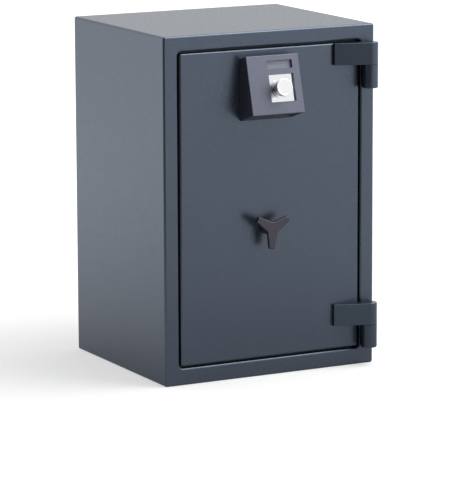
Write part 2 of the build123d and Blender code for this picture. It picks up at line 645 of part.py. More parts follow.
def bolt_z(tip, end):
    """A round bolt along Z on the handle's line, with a chamfered tip."""
    up = tip > end
    shoulder = tip - BOLT_CHAMFER if up else tip + BOLT_CHAMFER
    straight = rod_z(min(shoulder, end), max(shoulder, end), HANDLE_X, BOLT_Y, BOLT_R)
    cone = Cone(BOLT_R, BOLT_R - BOLT_CHAMFER, BOLT_CHAMFER) if up else Cone(
        BOLT_R - BOLT_CHAMFER, BOLT_R, BOLT_CHAMFER
    )
    return straight + Pos(HANDLE_X, BOLT_Y, (tip + shoulder) / 2) * cone


def guide(x, z, along_x):
    """A block on the boltwork plate with a slot that a flat bar slides in."""
    half = ROD_WIDTH / 2
    slot = GUIDE_SLIDE_CLEARANCE
    across = half + GUIDE_WALL
    length = GUIDE_LENGTH / 2
    reach = length + 1
    top = BAR_Y1 + GUIDE_WALL / 2
    if along_x:
        body = block(x - length, x + length, PLATE_BACK, top, z - across, z + across)
        return body - block(x - reach, x + reach, BAR_Y0 - slot, BAR_Y1 + slot, z - half - slot, z + half + slot)
    body = block(x - across, x + across, PLATE_BACK, top, z - length, z + length)
    return body - block(x - half - slot, x + half + slot, BAR_Y0 - slot, BAR_Y1 + slot, z - reach, z + reach)


def make_boltwork():
    """Side bar with three bolts, top and bottom rods, fixed bolts, bushes and guides."""
    nodes = {}
    half = ROD_WIDTH / 2
    bar_z0 = SIDE_BOLT_Z[0] - BAR_END_MARGIN
    bar_z1 = SIDE_BOLT_Z[-1] + BAR_END_MARGIN
    pin_x = HANDLE_X - CAM_START_R
    bar = block(BAR_X0, BAR_X1, BAR_Y0, BAR_Y1, bar_z0, bar_z1)
    bar += block(BAR_X1, pin_x + ROD_PIN_MARGIN, BAR_Y0, BAR_Y1, HANDLE_Z - half, HANDLE_Z + half)
    pin_y1 = CAM_Y1 + CAM_PIN_END
    nodes["side_bolt_bar"] = bar + rod_y(BAR_Y1, pin_y1, pin_x, HANDLE_Z, CAM_PIN_R)
    nodes["side_bolts"] = group(bolt_x(SIDE_BOLT_TIP, BAR_X0, BOLT_Y, z) for z in SIDE_BOLT_Z)

    rod_x0 = HANDLE_X - half
    rod_x1 = HANDLE_X + half
    top_pin = HANDLE_Z + CAM_START_R
    top_end = TOP_BOLT_TIP - ROD_BOLT_LENGTH
    top_rod = block(rod_x0, rod_x1, BAR_Y0, BAR_Y1, top_pin - ROD_PIN_MARGIN, top_end)
    notch_x = LOCK_X0 - LOCK_BOLT_TRAVEL - LOCK_NOTCH_CLEARANCE
    notch_half = LOCK_BOLT_HEIGHT / 2 + LOCK_NOTCH_CLEARANCE
    for z in (LOCK_MID_Z, LOCK_MID_Z - BOLT_THROW):
        top_rod -= block(notch_x, rod_x1, BAR_Y0, BAR_Y1, z - notch_half, z + notch_half)
    nodes["top_rod"] = top_rod + rod_y(BAR_Y1, pin_y1, HANDLE_X, top_pin, CAM_PIN_R)
    nodes["top_bolt"] = bolt_z(TOP_BOLT_TIP, top_end)

    low_pin = HANDLE_Z - CAM_START_R
    low_end = BOTTOM_BOLT_TIP + ROD_BOLT_LENGTH
    low_rod = block(rod_x0, rod_x1, BAR_Y0, BAR_Y1, low_end, low_pin + ROD_PIN_MARGIN)
    nodes["bottom_rod"] = low_rod + rod_y(BAR_Y1, pin_y1, HANDLE_X, low_pin, CAM_PIN_R)
    nodes["bottom_bolt"] = bolt_z(BOTTOM_BOLT_TIP, low_end)

    fixed = []
    inner_x = PAN_X1 - PAN_SHEET
    tip_x = OPEN_X - REBATE_WIDTH + FIXED_BOLT_REACH
    for z in SIDE_BOLT_Z:
        bolt = rod_x(inner_x - FIXED_BOLT_TAIL, tip_x - FIXED_BOLT_TAPER, BOLT_Y, z, FIXED_BOLT_R)
        bolt += cone_x(tip_x - FIXED_BOLT_TAPER, tip_x, BOLT_Y, z, FIXED_BOLT_R, FIXED_BOLT_TIP_R)
        bolt += rod_x(inner_x - FIXED_BOLT_COLLAR, inner_x, BOLT_Y, z, FIXED_BOLT_COLLAR_R)
        fixed.append(bolt)
    nodes["hinge_side_bolts"] = group(fixed)

    bush_out = BOLT_R + BOLT_BUSH_WALL
    bush_in = BOLT_R + RUNNING_FIT
    bushes = []
    for z in SIDE_BOLT_Z:
        x1 = PAN_X0 + BOLT_BUSH_LENGTH
        bushes.append(rod_x(PAN_X0, x1, BOLT_Y, z, bush_out) - rod_x(PAN_X0, x1, BOLT_Y, z, bush_in))
    for z0 in (PAN_Z0, PAN_Z1 - BOLT_BUSH_LENGTH):
        z1 = z0 + BOLT_BUSH_LENGTH
        bushes.append(rod_z(z0, z1, HANDLE_X, BOLT_Y, bush_out) - rod_z(z0, z1, HANDLE_X, BOLT_Y, bush_in))
    nodes["bolt_bushes"] = group(bushes)

    guides = [guide(HANDLE_X - SIDE_GUIDE_OFFSET, HANDLE_Z, True)]
    guide_zs = (
        low_end + LOWER_GUIDE_FROM_BOLT, HANDLE_Z - INNER_GUIDE_OFFSET,
        HANDLE_Z + INNER_GUIDE_OFFSET, LOCK_Z0 - UPPER_GUIDE_BELOW_LOCK,
    )
    for z in guide_zs:
        guides.append(guide(HANDLE_X, z, False))
    nodes["rod_guides"] = group(guides)
    return nodes


def cam_slot(start_angle):
    """One spiral slot of the cam: its radius grows evenly as the handle turns."""
    rate = BOLT_THROW / radians(HANDLE_ANGLE)
    width = CAM_PIN_R + CAM_PIN_CLEARANCE
    steps = 12
    sides = ([], [])
    for index in range(steps + 1):
        turn = radians(HANDLE_ANGLE) * index / steps
        radius = CAM_START_R + rate * turn
        angle = radians(start_angle) - turn
        point = Vector(radius * cos(angle), radius * sin(angle))
        along = Vector(
            rate * cos(angle) + radius * sin(angle), rate * sin(angle) - radius * cos(angle)
        ).normalized()
        across = Vector(-along.Y, along.X) * width
        sides[0].append(point + across)
        sides[1].append(point - across)
        if index == 0:
            first_cap = point - along * width
        last_cap = point + along * width
    outline = (
        Spline(*sides[0])
        + ThreePointArc(sides[0][-1], last_cap, sides[1][-1])
        + Spline(*reversed(sides[1]))
        + ThreePointArc(sides[1][0], first_cap, sides[0][0])
    )
    return make_face(outline)


def make_cam_and_handle():
    """The three-armed handle, its spindle and bush, and the cam that drives the bolts."""
    nodes = {}
    at_handle = Pos(HANDLE_X, HANDLE_Z)
    disc = Circle(CAM_R) - Rectangle(SPINDLE_SQUARE + 2 * RUNNING_FIT, SPINDLE_SQUARE + 2 * RUNNING_FIT)
    for start in CAM_PIN_ANGLES:
        disc -= cam_slot(start)
    nodes["cam_disc"] = slab(at_handle * disc, CAM_Y0, CAM_Y1)

    arm_y0 = FRONT - HANDLE_REACH
    arm_y1 = arm_y0 + HANDLE_ARM_THICKNESS
    corners = []
    for arm in range(3):
        aim = radians(-90 - HANDLE_LEAN + 120 * arm)
        out = Vector(cos(aim), sin(aim))
        side = Vector(-out.Y, out.X) * (HANDLE_TIP_WIDTH / 2)
        crotch = aim + radians(60)
        corners.append(out * HANDLE_ARM_R - side)
        corners.append(out * HANDLE_ARM_R + side)
        corners.append(Vector(cos(crotch), sin(crotch)) * HANDLE_CROTCH_R)
    star = make_face(Polyline(*[(p.X, p.Y) for p in corners], close=True))
    star = fillet(star.vertices(), HANDLE_CORNER_R)
    arms = slab(at_handle * star, arm_y0, arm_y1)
    rims = arms.edges().group_by(Axis.Y)[0] + arms.edges().group_by(Axis.Y)[-1]
    arms = fillet(rims, HANDLE_EDGE_R)
    hub_y1 = FRONT - SPINDLE_FLANGE - CAM_PIN_CLEARANCE
    hub = rod_y((arm_y0 + arm_y1) / 2, hub_y1, HANDLE_X, HANDLE_Z, HANDLE_HUB_R)
    spindle_y0 = arm_y0 + HANDLE_BLIND
    handle = arms + hub - rod_y(spindle_y0, hub_y1, HANDLE_X, HANDLE_Z, SPINDLE_R + SEAT_FIT)
    grub_y = (arm_y1 + hub_y1) / 2
    flat_z = HANDLE_Z - SPINDLE_R + GRUB_FLAT
    grub_hole = rod_z(HANDLE_Z - HANDLE_HUB_R, flat_z, HANDLE_X, grub_y, GRUB_R + SEAT_FIT)
    nodes["handle"] = handle - grub_hole
    grub_z0 = HANDLE_Z - HANDLE_HUB_R + GRUB_SUNK
    nodes["handle_grub_screw"] = rod_z(grub_z0, flat_z, HANDLE_X, grub_y, GRUB_R)

    square = SPINDLE_SQUARE / 2
    spindle = rod_y(spindle_y0, CAM_Y0, HANDLE_X, HANDLE_Z, SPINDLE_R)
    spindle -= block(
        HANDLE_X - SPINDLE_R, HANDLE_X + SPINDLE_R, grub_y - GRUB_R - GRUB_FLAT, grub_y + GRUB_R + GRUB_FLAT,
        HANDLE_Z - SPINDLE_R, flat_z,
    )
    spindle += block(
        HANDLE_X - square, HANDLE_X + square, CAM_Y0, CAM_Y1, HANDLE_Z - square, HANDLE_Z + square
    )
    spindle += rod_y(CAM_Y1, CAM_Y1 + SPINDLE_TAIL, HANDLE_X, HANDLE_Z, SPINDLE_TAIL_R)
    nodes["spindle"] = spindle
    clip = rod_y(CAM_Y1, CAM_Y1 + SPINDLE_CLIP, HANDLE_X, HANDLE_Z, SPINDLE_CLIP_R)
    nodes["spindle_clip"] = clip - rod_y(
        CAM_Y1, CAM_Y1 + SPINDLE_CLIP, HANDLE_X, HANDLE_Z, SPINDLE_TAIL_R + SEAT_FIT
    )

    bush = rod_y(FRONT, PLATE_BACK, HANDLE_X, HANDLE_Z, SPINDLE_R + SPINDLE_BUSH_WALL)
    bush += rod_y(FRONT - SPINDLE_FLANGE, FRONT, HANDLE_X, HANDLE_Z, SPINDLE_FLANGE_R)
    bush -= rod_y(FRONT - SPINDLE_FLANGE, PLATE_BACK, HANDLE_X, HANDLE_Z, SPINDLE_R + RUNNING_FIT)
    nodes["spindle_bush"] = bush
    return nodes


def make_lock():
    """The lock case behind the door, with a bolt that slides into the top rod's notches."""
    nodes = {}
    y0 = PLATE_BACK
    y1 = y0 + LOCK_CASE_DEPTH
    wall = LOCK_CASE_WALL
    half_t = LOCK_BOLT_THICKNESS / 2
    half_h = LOCK_BOLT_HEIGHT / 2
    play = LOCK_BOLT_CLEARANCE
    cable_x, cable_z, cable_y = cable_axis()
    case = block(LOCK_X0, LOCK_X1, y0, y1, LOCK_Z0, LOCK_Z1)
    case -= block(LOCK_X0 + wall, LOCK_X1 - wall, y0 + wall, y1, LOCK_Z0 + wall, LOCK_Z1 - wall)
    cheek_x = LOCK_X0 + LOCK_BOLT_LENGTH + wall
    case += block(
        LOCK_X0 + wall, cheek_x, y0 + wall, BOLT_Y + half_t + wall,
        LOCK_MID_Z - half_h - wall, LOCK_MID_Z + half_h + wall,
    )
    case -= block(
        LOCK_X0, cheek_x, BOLT_Y - half_t - play, BOLT_Y + half_t + play,
        LOCK_MID_Z - half_h - play, LOCK_MID_Z + half_h + play,
    )
    case -= rod_y(y0, y0 + wall, cable_x, cable_z, CABLE_R + RUNNING_FIT)
    cover = block(LOCK_X0, LOCK_X1, y1, y1 + LOCK_COVER_SHEET, LOCK_Z0, LOCK_Z1)
    screws = []
    inset = LOCK_SCREW_INSET
    for x in (LOCK_X0 + inset, LOCK_X1 - inset):
        for z in (LOCK_Z0 + inset, LOCK_Z1 - inset):
            case += rod_y(y0 + wall, y1, x, z, LOCK_SCREW_R + wall)
            hole = rod_y(BARRIER_BACK, y1 + LOCK_COVER_SHEET, x, z, LOCK_SCREW_R + SEAT_FIT)
            case -= hole
            cover -= hole
            head_y = y1 + LOCK_COVER_SHEET
            shank = rod_y(y0, head_y, x, z, LOCK_SCREW_R)
            screws.append(shank + rod_y(head_y, head_y + COVER_SCREW_HEAD, x, z, COVER_SCREW_HEAD_R))
    nodes["lock_case"] = case
    nodes["lock_case_cover"] = cover
    nodes["lock_case_screws"] = group(screws)
    nodes["lock_bolt"] = block(
        LOCK_X0, LOCK_X0 + LOCK_BOLT_LENGTH, BOLT_Y - half_t, BOLT_Y + half_t,
        LOCK_MID_Z - half_h, LOCK_MID_Z + half_h,
    )
    cable_end = y0 + wall + CABLE_IN_CASE
    nodes["lock_cable"] = rod_y(cable_y, cable_end, cable_x, cable_z, CABLE_R)
    return nodes


def unit_plane():
    """The tilted face of the lock unit: local x right, y up the face, z out of it."""
    origin = (UNIT_X, FRONT - UNIT_STANDOFF, UNIT_Z)
    return Plane(origin=origin, x_dir=(1, 0, 0), z_dir=(0, -cos(TILT), sin(TILT)))


def unit_block(u0, u1, v0, v1, n0, n1):
    """A box in the lock unit's own tilted frame."""
    return unit_plane() * block(u0, u1, v0, v1, n0, n1)


def unit_rod(u, v, n0, n1, radius):
    """A round bar square to the lock unit's face."""
    return unit_plane() * rod_z(n0, n1, u, v, radius)


def in_front_of_door():
    """The space that the lock unit may fill."""
    reach = 2 * UNIT_HEIGHT
    return block(
        UNIT_X - reach, UNIT_X + reach, FRONT - reach, FRONT, UNIT_Z - reach, UNIT_Z + reach
    )


def post_places():
    """The four posts in the housing that the board is screwed to."""
    for u in (-1, 1):
        for v in (-1, 1):
            yield (
                u * (UNIT_WIDTH / 2 - UNIT_WALL - POST_SIDE_INSET),
                v * (UNIT_HEIGHT / 2 - UNIT_WALL - POST_END_INSET),
            )


def battery_bay():
    """The sleeve inside the housing that guides the battery tray."""
    mid = BATTERY_CENTRE_U
    wall = BAY_WALL
    half = TRAY_HALF + BAY_PLAY
    bottom = UNIT_WALL - UNIT_HEIGHT / 2
    top = TRAY_TOP + BAY_PLAY
    front = -TRAY_SETBACK + BAY_PLAY
    back = -TRAY_SETBACK - TRAY_DEPTH - BAY_PLAY
    bay = block(mid - half - wall, mid + half + wall, bottom, top + wall, back - wall, front + wall)
    return bay - block(mid - half, mid + half, bottom, top, back, front)


def make_housing():
    """The wedge housing of the lock unit, open at its back."""
    half_w = UNIT_WIDTH / 2
    half_h = UNIT_HEIGHT / 2
    depth = UNIT_HEIGHT
    low = -half_h - depth * tan(radians(UNDERSIDE_DRAFT))
    side_face = make_face(Plane.YZ * Polyline(
        (half_h, 0), (half_h, -depth), (low, -depth), (-half_h, 0), close=True
    ))
    shell = Pos(-half_w, 0, 0) * extrude(side_face, amount=UNIT_WIDTH, dir=(1, 0, 0))
    shell = fillet(shell.edges().group_by(Axis.Z)[1], UNIT_CORNER_R)
    shell = fillet(shell.edges().group_by(Axis.Z)[-1], UNIT_EDGE_R)
    inner_w = half_w - UNIT_WALL
    inner_h = half_h - UNIT_WALL
    shell -= block(-inner_w, inner_w, -inner_h, inner_h, -depth, -UNIT_WALL)
    rib = RECESS_RIB
    shell += block(
        RECESS_LEFT - rib, RECESS_RIGHT + rib, RECESS_BOTTOM - rib, RECESS_TOP + rib, -RECESS_DEPTH, -UNIT_WALL
    )
    shell += block(
        RECESS_LEFT - rib, RECESS_RIGHT + rib, WINDOW_BOTTOM - rib, WINDOW_TOP + rib, -WINDOW_DEPTH, -UNIT_WALL
    )
    shell -= block(RECESS_LEFT, RECESS_RIGHT, RECESS_BOTTOM, RECESS_TOP, -RECESS_DEPTH, 0)
    shell -= block(RECESS_LEFT, RECESS_RIGHT, WINDOW_BOTTOM, WINDOW_TOP, -WINDOW_DEPTH, 0)
    for u, v in post_places():
        shell += rod_z(-BOARD_DEPTH, -UNIT_WALL, u, v, POST_R)
    tray = TRAY_HALF + BAY_PLAY
    shell -= block(
        BATTERY_CENTRE_U - tray, BATTERY_CENTRE_U + tray, low, -inner_h,
        -TRAY_SETBACK - TRAY_DEPTH - BAY_PLAY, -TRAY_SETBACK + BAY_PLAY,
    )
    shell += battery_bay()
    shell -= block(
        SLOT_U - SLOT_WIDTH / 2, SLOT_U + SLOT_WIDTH / 2, low, -inner_h,
        -SLOT_FROM_FACE - SLOT_LENGTH, -SLOT_FROM_FACE,
    )
    return unit_plane() * shell & in_front_of_door()


def make_unit():
    """The lock unit: housing, window, board, knob, battery tray and their fixings."""
    nodes = {"lock_housing": make_housing()}
    inner_w = UNIT_WIDTH / 2 - UNIT_WALL
    inner_h = UNIT_HEIGHT / 2 - UNIT_WALL
    margin = KNOB_PLATE_MARGIN
    plate_n = -RECESS_DEPTH - KNOB_PLATE_SHEET
    knob_plate = unit_block(
        RECESS_LEFT - margin, RECESS_RIGHT + margin, RECESS_BOTTOM - margin, RECESS_TOP + margin,
        plate_n, -RECESS_DEPTH,
    )
    knob_plate -= unit_rod(KNOB_U, KNOB_V, plate_n, -RECESS_DEPTH, PLUNGER_R + ENCODER_PLATE_GAP)
    nodes["knob_plate"] = knob_plate
    display = unit_block(
        RECESS_LEFT - margin, RECESS_RIGHT + margin, WINDOW_BOTTOM - margin, WINDOW_TOP + margin,
        -WINDOW_DEPTH - WINDOW_SHEET, -WINDOW_DEPTH,
    )
    nodes["display"] = display + unit_block(
        RECESS_LEFT + margin, RECESS_RIGHT - margin, WINDOW_BOTTOM + margin, WINDOW_TOP - margin,
        -BOARD_DEPTH, -WINDOW_DEPTH - WINDOW_SHEET,
    )
    board_n = -BOARD_DEPTH - BOARD_SHEET
    board_w = inner_w - BOARD_SIDE_MARGIN + POST_R
    board_h = inner_h - BOARD_END_MARGIN
    nodes["control_board"] = unit_block(-board_w, board_w, -board_h, board_h, board_n, -BOARD_DEPTH)

    half = ENCODER_SIZE / 2
    encoder_n = plate_n - ENCODER_PLATE_GAP
    encoder = unit_block(KNOB_U - half, KNOB_U + half, KNOB_V - half, KNOB_V + half, -BOARD_DEPTH, encoder_n)
    well_n = -BOARD_DEPTH + ENCODER_FLOOR
    encoder -= unit_rod(KNOB_U, KNOB_V, well_n, encoder_n, PLUNGER_R + RUNNING_FIT)
    nodes["knob_encoder"] = encoder
    plunger_n = well_n + KNOB_TRAVEL + RUNNING_FIT
    plunger = unit_rod(KNOB_U, KNOB_V, plunger_n, plunger_n + PLUNGER_LENGTH, PLUNGER_R)
    nodes["knob_plunger"] = plunger - unit_rod(
        KNOB_U, KNOB_V, plunger_n, plunger_n + PLUNGER_LENGTH, KNOB_SHAFT_R + RUNNING_FIT
    )

    flat_n = KNOB_SHAFT_ROUND_LENGTH
    shaft = rod_z(plunger_n, KNOB_SHAFT_REACH, 0, 0, KNOB_SHAFT_R)
    flat = block(KNOB_SHAFT_FLAT, KNOB_R, -KNOB_R, KNOB_R, flat_n - RUNNING_FIT, KNOB_SHAFT_REACH)
    nodes["knob_shaft"] = unit_plane() * Pos(KNOB_U, KNOB_V, 0) * (shaft - flat)
    knob_n0 = -RECESS_DEPTH + KNOB_PLATE_GAP
    knob = rod_z(knob_n0, KNOB_FRONT, 0, 0, KNOB_R)
    knob = fillet(knob.edges().group_by(Axis.Z)[-1], KNOB_EDGE_R)
    bore = rod_z(knob_n0, knob_n0 + KNOB_BORE_DEPTH, 0, 0, KNOB_SHAFT_R + RUNNING_FIT)
    bore -= block(
        KNOB_SHAFT_FLAT + RUNNING_FIT, KNOB_R, -KNOB_R, KNOB_R, flat_n, KNOB_FRONT
    )
    nodes["selector_knob"] = unit_plane() * Pos(KNOB_U, KNOB_V, 0) * (knob - bore)

    x0 = UNIT_X - inner_w + UNIT_PLATE_GAP
    x1 = UNIT_X + inner_w - UNIT_PLATE_GAP
    low_n = (-inner_h * sin(TILT) - UNIT_STANDOFF) / cos(TILT)
    high_n = (inner_h * sin(TILT) - UNIT_STANDOFF) / cos(TILT)
    z0 = UNIT_Z - inner_h * cos(TILT) + low_n * sin(TILT) + 2 * UNIT_PLATE_GAP
    z1 = UNIT_Z + inner_h * cos(TILT) + high_n * sin(TILT) - UNIT_PLATE_GAP
    cable_x, cable_z, _ = cable_axis()
    base = block(x0, x1, FRONT - UNIT_PLATE_SHEET, FRONT, z0, z1)
    base -= rod_y(FRONT - UNIT_PLATE_SHEET, FRONT, cable_x, cable_z, CABLE_HOLE_R)
    screws = []
    for x, z in base_screw_places():
        base -= rod_y(FRONT - UNIT_PLATE_SHEET, FRONT, x, z, BASE_SCREW_R + SEAT_FIT)
        head_y = FRONT - UNIT_PLATE_SHEET
        head = rod_y(head_y - BASE_SCREW_HEAD, head_y, x, z, BASE_SCREW_HEAD_R)
        screws.append(head + rod_y(head_y, FRONT + BASE_SCREW_DEPTH, x, z, BASE_SCREW_R))
    nodes["lock_base_plate"] = base
    nodes["base_screws"] = group(screws)
    nodes.update(make_battery_drawer())
    return nodes


def make_battery_drawer():
    """The battery and the tray that carries it."""
    nodes = {}
    half_h = UNIT_HEIGHT / 2
    inner_h = half_h - UNIT_WALL
    mid = BATTERY_CENTRE_U
    back_n = -TRAY_SETBACK - TRAY_DEPTH
    tray = block(mid - TRAY_HALF, mid + TRAY_HALF, -half_h, TRAY_TOP, back_n, -TRAY_SETBACK)
    pocket_half = BATTERY_WIDTH / 2 + TRAY_PLAY
    pocket_top = -inner_h + BATTERY_LENGTH + 2 * TRAY_PLAY
    tray -= block(
        mid - pocket_half, mid + pocket_half, -inner_h, pocket_top, back_n + TRAY_WALL, -TRAY_SETBACK
    )
    nodes["battery_tray"] = unit_plane() * tray
    battery = block(
        mid - BATTERY_WIDTH / 2, mid + BATTERY_WIDTH / 2,
        -inner_h + TRAY_PLAY, -inner_h + TRAY_PLAY + BATTERY_LENGTH,
        back_n + TRAY_WALL, back_n + TRAY_WALL + BATTERY_THICKNESS,
    )
    nodes["battery"] = unit_plane() * battery
    return nodes


def main():
    os.makedirs("parts", exist_ok=True)
    nodes = {}
    nodes.update(make_body())
    nodes.update(make_shelves())
    nodes.update(make_hinges())
    nodes.update(make_door())
    nodes.update(make_boltwork())
    nodes.update(make_cam_and_handle())
    nodes.update(make_lock())
    nodes.update(make_unit())
    for name, shape in nodes.items():
        export_step(shape, "parts/" + name + ".step")
    print(len(nodes), "nodes")


main()
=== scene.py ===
from math import atan2, cos, pi, radians, sin

import bmesh
import bpy
from bpy.props import FloatProperty, FloatVectorProperty, IntProperty, PointerProperty
from mathutils import Matrix, Vector


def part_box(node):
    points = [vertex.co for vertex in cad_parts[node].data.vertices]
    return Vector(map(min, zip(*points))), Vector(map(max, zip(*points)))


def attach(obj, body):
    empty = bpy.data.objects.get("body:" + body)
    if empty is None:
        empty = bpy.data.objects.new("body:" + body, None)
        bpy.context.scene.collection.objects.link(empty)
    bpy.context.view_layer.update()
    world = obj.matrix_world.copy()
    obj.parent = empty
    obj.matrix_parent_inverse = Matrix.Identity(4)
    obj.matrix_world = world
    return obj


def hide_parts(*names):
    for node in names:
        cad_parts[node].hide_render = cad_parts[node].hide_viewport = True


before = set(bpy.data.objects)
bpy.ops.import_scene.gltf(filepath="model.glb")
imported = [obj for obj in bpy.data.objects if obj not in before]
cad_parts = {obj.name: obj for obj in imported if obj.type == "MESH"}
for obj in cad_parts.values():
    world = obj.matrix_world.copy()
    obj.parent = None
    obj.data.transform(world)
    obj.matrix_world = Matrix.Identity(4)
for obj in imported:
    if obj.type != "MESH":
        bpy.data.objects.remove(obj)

bl_info = {
    "name": "Security Safe",
    "version": (1, 0, 0),
    "blender": (4, 5, 0),
    "location": "View3D > Sidebar > Safe",
    "description": "Dresses the packed safe with finishes, detailed pieces, lights and a camera",
    "category": "Object",
}

WHITE = (1.0, 1.0, 1.0, 1.0)
# Most values of a noise texture lie between these two.
NOISE_LOW = 0.3
NOISE_HIGH = 0.7
# Points of a turned piece that are closer than this, in metres, become one.
MERGE_DISTANCE = 0.000001
# How far, in metres, a point may lie off the socket's radius and still belong to it.
SOCKET_TOLERANCE = 0.00001
SOCKET_SIDES = 6
# Edges of a turned piece that bend more than this stay crisp.
CRISP_ANGLE = radians(35.0)


def length(name, description, default):
    """A size in metres."""
    return FloatProperty(
        name=name, description=description, default=default, unit="LENGTH", precision=5
    )


def amount(name, description, default):
    """A plain number."""
    return FloatProperty(name=name, description=description, default=default, precision=4)


def angle(name, description, default):
    """An angle, given in degrees."""
    return FloatProperty(
        name=name, description=description, default=radians(default), subtype="ANGLE"
    )


def place(name, description, default):
    """A point in metres."""
    return FloatVectorProperty(
        name=name, description=description, default=default, subtype="XYZ", precision=5
    )


def colour(name, description, default):
    """A linear colour."""
    return FloatVectorProperty(
        name=name, description=description, default=default, subtype="COLOR", min=0.0, max=1.0
    )


def count(name, description, default):
    """A whole number."""
    return IntProperty(name=name, description=description, default=default)


class SafePaintSettings(bpy.types.PropertyGroup):
    """Painted sheet and plate, outside and inside."""

    coat: colour("Coat", "Colour of the textured metallic paint outside", (0.085, 0.104, 0.138))
    coat_metal: amount("Coat metal", "How metallic the paint outside is", 0.85)
    coat_roughness: amount("Coat roughness", "Roughness of the textured paint", 0.31)
    coat_patches: amount("Coat patches", "How far that roughness strays either way", 0.04)
    coat_mottle: amount("Coat mottle", "How much the coat's colour varies", 0.07)
    grain_size: length("Grain size", "Size of the coat's fine grain", 0.0014)
    grain_depth: length("Grain depth", "Height of the coat's fine grain", 0.000004)
    peel_size: length("Peel size", "Size of the coat's slow waves", 0.007)
    peel_depth: length("Peel depth", "Height of the coat's slow waves", 0.000008)
    hinge_coat: colour("Hinge coat", "Colour of the paint on the hinges", (0.067, 0.086, 0.115))
    hinge_metal: amount("Hinge metal", "How metallic the paint on the hinges is", 0.9)
    inside: colour("Inside paint", "Colour of the paint inside", (0.17, 0.175, 0.18))
    inside_roughness: amount("Inside roughness", "Roughness of the paint inside", 0.45)
    # Near-black colour on the rebate frame: painted shade standing in for the dark gap round the
    # door.
    rebate: colour(
        "Rebate painted shade", "Colour of the paint in the gap round the door", (0.018, 0.02, 0.025)
    )


class SafeInnerSettings(bpy.types.PropertyGroup):
    """Plated, bare, cast and moulded pieces behind the paint."""

    zinc: colour("Zinc plate", "Colour of the zinc-plated pieces", (0.5, 0.5, 0.48))
    oiled: colour("Oiled steel", "Colour of the hinge washers", (0.1, 0.1, 0.1))
    turned: colour("Turned steel", "Colour of the bolts, pins and shafts", (0.6, 0.6, 0.6))
    hard: colour("Hard steel", "Colour of the plate that resists drills", (0.2, 0.2, 0.21))
    brass: colour("Brass", "Colour of the bushes, lock bolt and plunger", (0.6, 0.45, 0.2))
    casting: colour("Casting", "Colour of the lock case and its cover", (0.45, 0.45, 0.46))
    filling: colour("Filling", "Colour of the filling between the skins", (0.45, 0.44, 0.41))
    seal: colour("Seal", "Colour of the rubber seal", (0.015, 0.015, 0.015))


class SafeLockSettings(bpy.types.PropertyGroup):
    """The tilted lock unit."""

    centre: place("Centre", "Middle of the unit's face", (-0.0111, -0.2545, 0.62675))
    tilt: angle("Tilt", "How far the face leans back", 15.0)
    paint: colour("Housing paint", "Colour of the housing", (0.148, 0.156, 0.198))
    paint_roughness: amount("Housing roughness", "Roughness of the housing", 0.5)
    paint_metal: amount("Housing metal", "How metallic the housing's paint is", 0.95)
    display: colour("Display", "Colour of the display behind its glass", (0.27, 0.31, 0.385))
    display_roughness: amount("Display roughness", "Roughness of the display", 0.12)
    plate: colour("Knob plate", "Colour of the plate round the knob", (0.83, 0.84, 0.86))
    plate_roughness: amount("Plate roughness", "Roughness of the plate", 0.07)
    board: colour("Board", "Colour of the circuit board", (0.03, 0.16, 0.06))
    board_roughness: amount("Board roughness", "Roughness of the circuit board", 0.35)
    encoder: colour("Encoder", "Colour of the knob's encoder", (0.04, 0.04, 0.04))
    cable: colour("Cable", "Colour of the cable's jacket", (0.02, 0.02, 0.02))
    tray: colour("Tray", "Colour of the battery tray", (0.03, 0.03, 0.035))
    battery: colour("Battery", "Colour of the battery's jacket", (0.35, 0.35, 0.36))


class SafeKnobSettings(bpy.types.PropertyGroup):
    """The turning knob."""

    across: length("Across", "Place of the axis across the face", 0.0098)
    up: length("Up", "Place of the axis up the face", -0.009)
    radius: length("Radius", "Radius of the knob", 0.0188)
    back: length("Back", "Back of the knob from the unit's face", -0.0028)
    back_round: length("Back round", "Width of the rounded edge at the back", 0.001)
    back_cut: length("Back cut", "How far the middle of that edge is cut away", 0.0003)
    front: length("Front", "Front of the knob from the unit's face", 0.021)
    rim: length("Rim", "Radius of the rounded rim", 0.0016)
    rim_steps: count("Rim steps", "Steps round the rim's corner", 8)
    groove: length("Groove", "Depth of the groove behind the rim", 0.0005)
    groove_back: amount("Groove back", "Back of the groove from the front, in rims", 4.0)
    groove_front: amount("Groove front", "Front of the groove from the front, in rims", 3.0)
    disc: length("Disc", "Depth of the recessed disc", 0.0002)
    disc_edge: amount("Disc edge", "Upper edge of the disc's wall from the flank, in rims", 2.0)
    disc_foot: amount("Disc foot", "Foot of the disc's wall from the flank, in rims", 2.2)
    hold: length("Hold", "Strip beside a corner that keeps the face next to it flat", 0.0003)
    bore_radius: length("Bore radius", "Radius of the bore for the shaft", 0.00305)
    bore_depth: length("Bore depth", "Depth of the bore for the shaft", 0.019)
    chrome: colour("Chrome", "Colour of the knob", (0.9, 0.9, 0.92))
    roughness: amount("Roughness", "Roughness of the knob", 0.05)
    steps: count("Steps", "Steps round the knob", 96)


class SafeHandleSettings(bpy.types.PropertyGroup):
    """The three-armed handle."""

    paint: colour("Paint", "Colour of the handle", (0.068, 0.064, 0.08))
    metal: amount("Metal", "How metallic the handle's paint is", 0.85)
    roughness: amount("Roughness", "Roughness of the handle", 0.3)


class SafeScrewSettings(bpy.types.PropertyGroup):
    """The socket screws in the boltwork cover."""

    head_radius: length("Head radius", "Radius of a head", 0.0045)
    head_height: length("Head height", "Height of a head", 0.0025)
    head_round: length("Head round", "Radius of a head's rounded rim", 0.0009)
    head_steps: count("Head steps", "Steps round the rim's corner", 5)
    shank_radius: length("Shank radius", "Radius of a shank", 0.0025)
    shank_length: length("Shank length", "Length of a shank", 0.006)
    socket: length("Socket", "Distance from the axis to a corner of the socket", 0.0018)
    socket_depth: length("Socket depth", "Depth of the socket", 0.0014)
    socket_point: length("Socket point", "Depth of the drill's point below the socket", 0.0006)
    steps: count("Steps", "Steps round a screw, a multiple of six", 36)


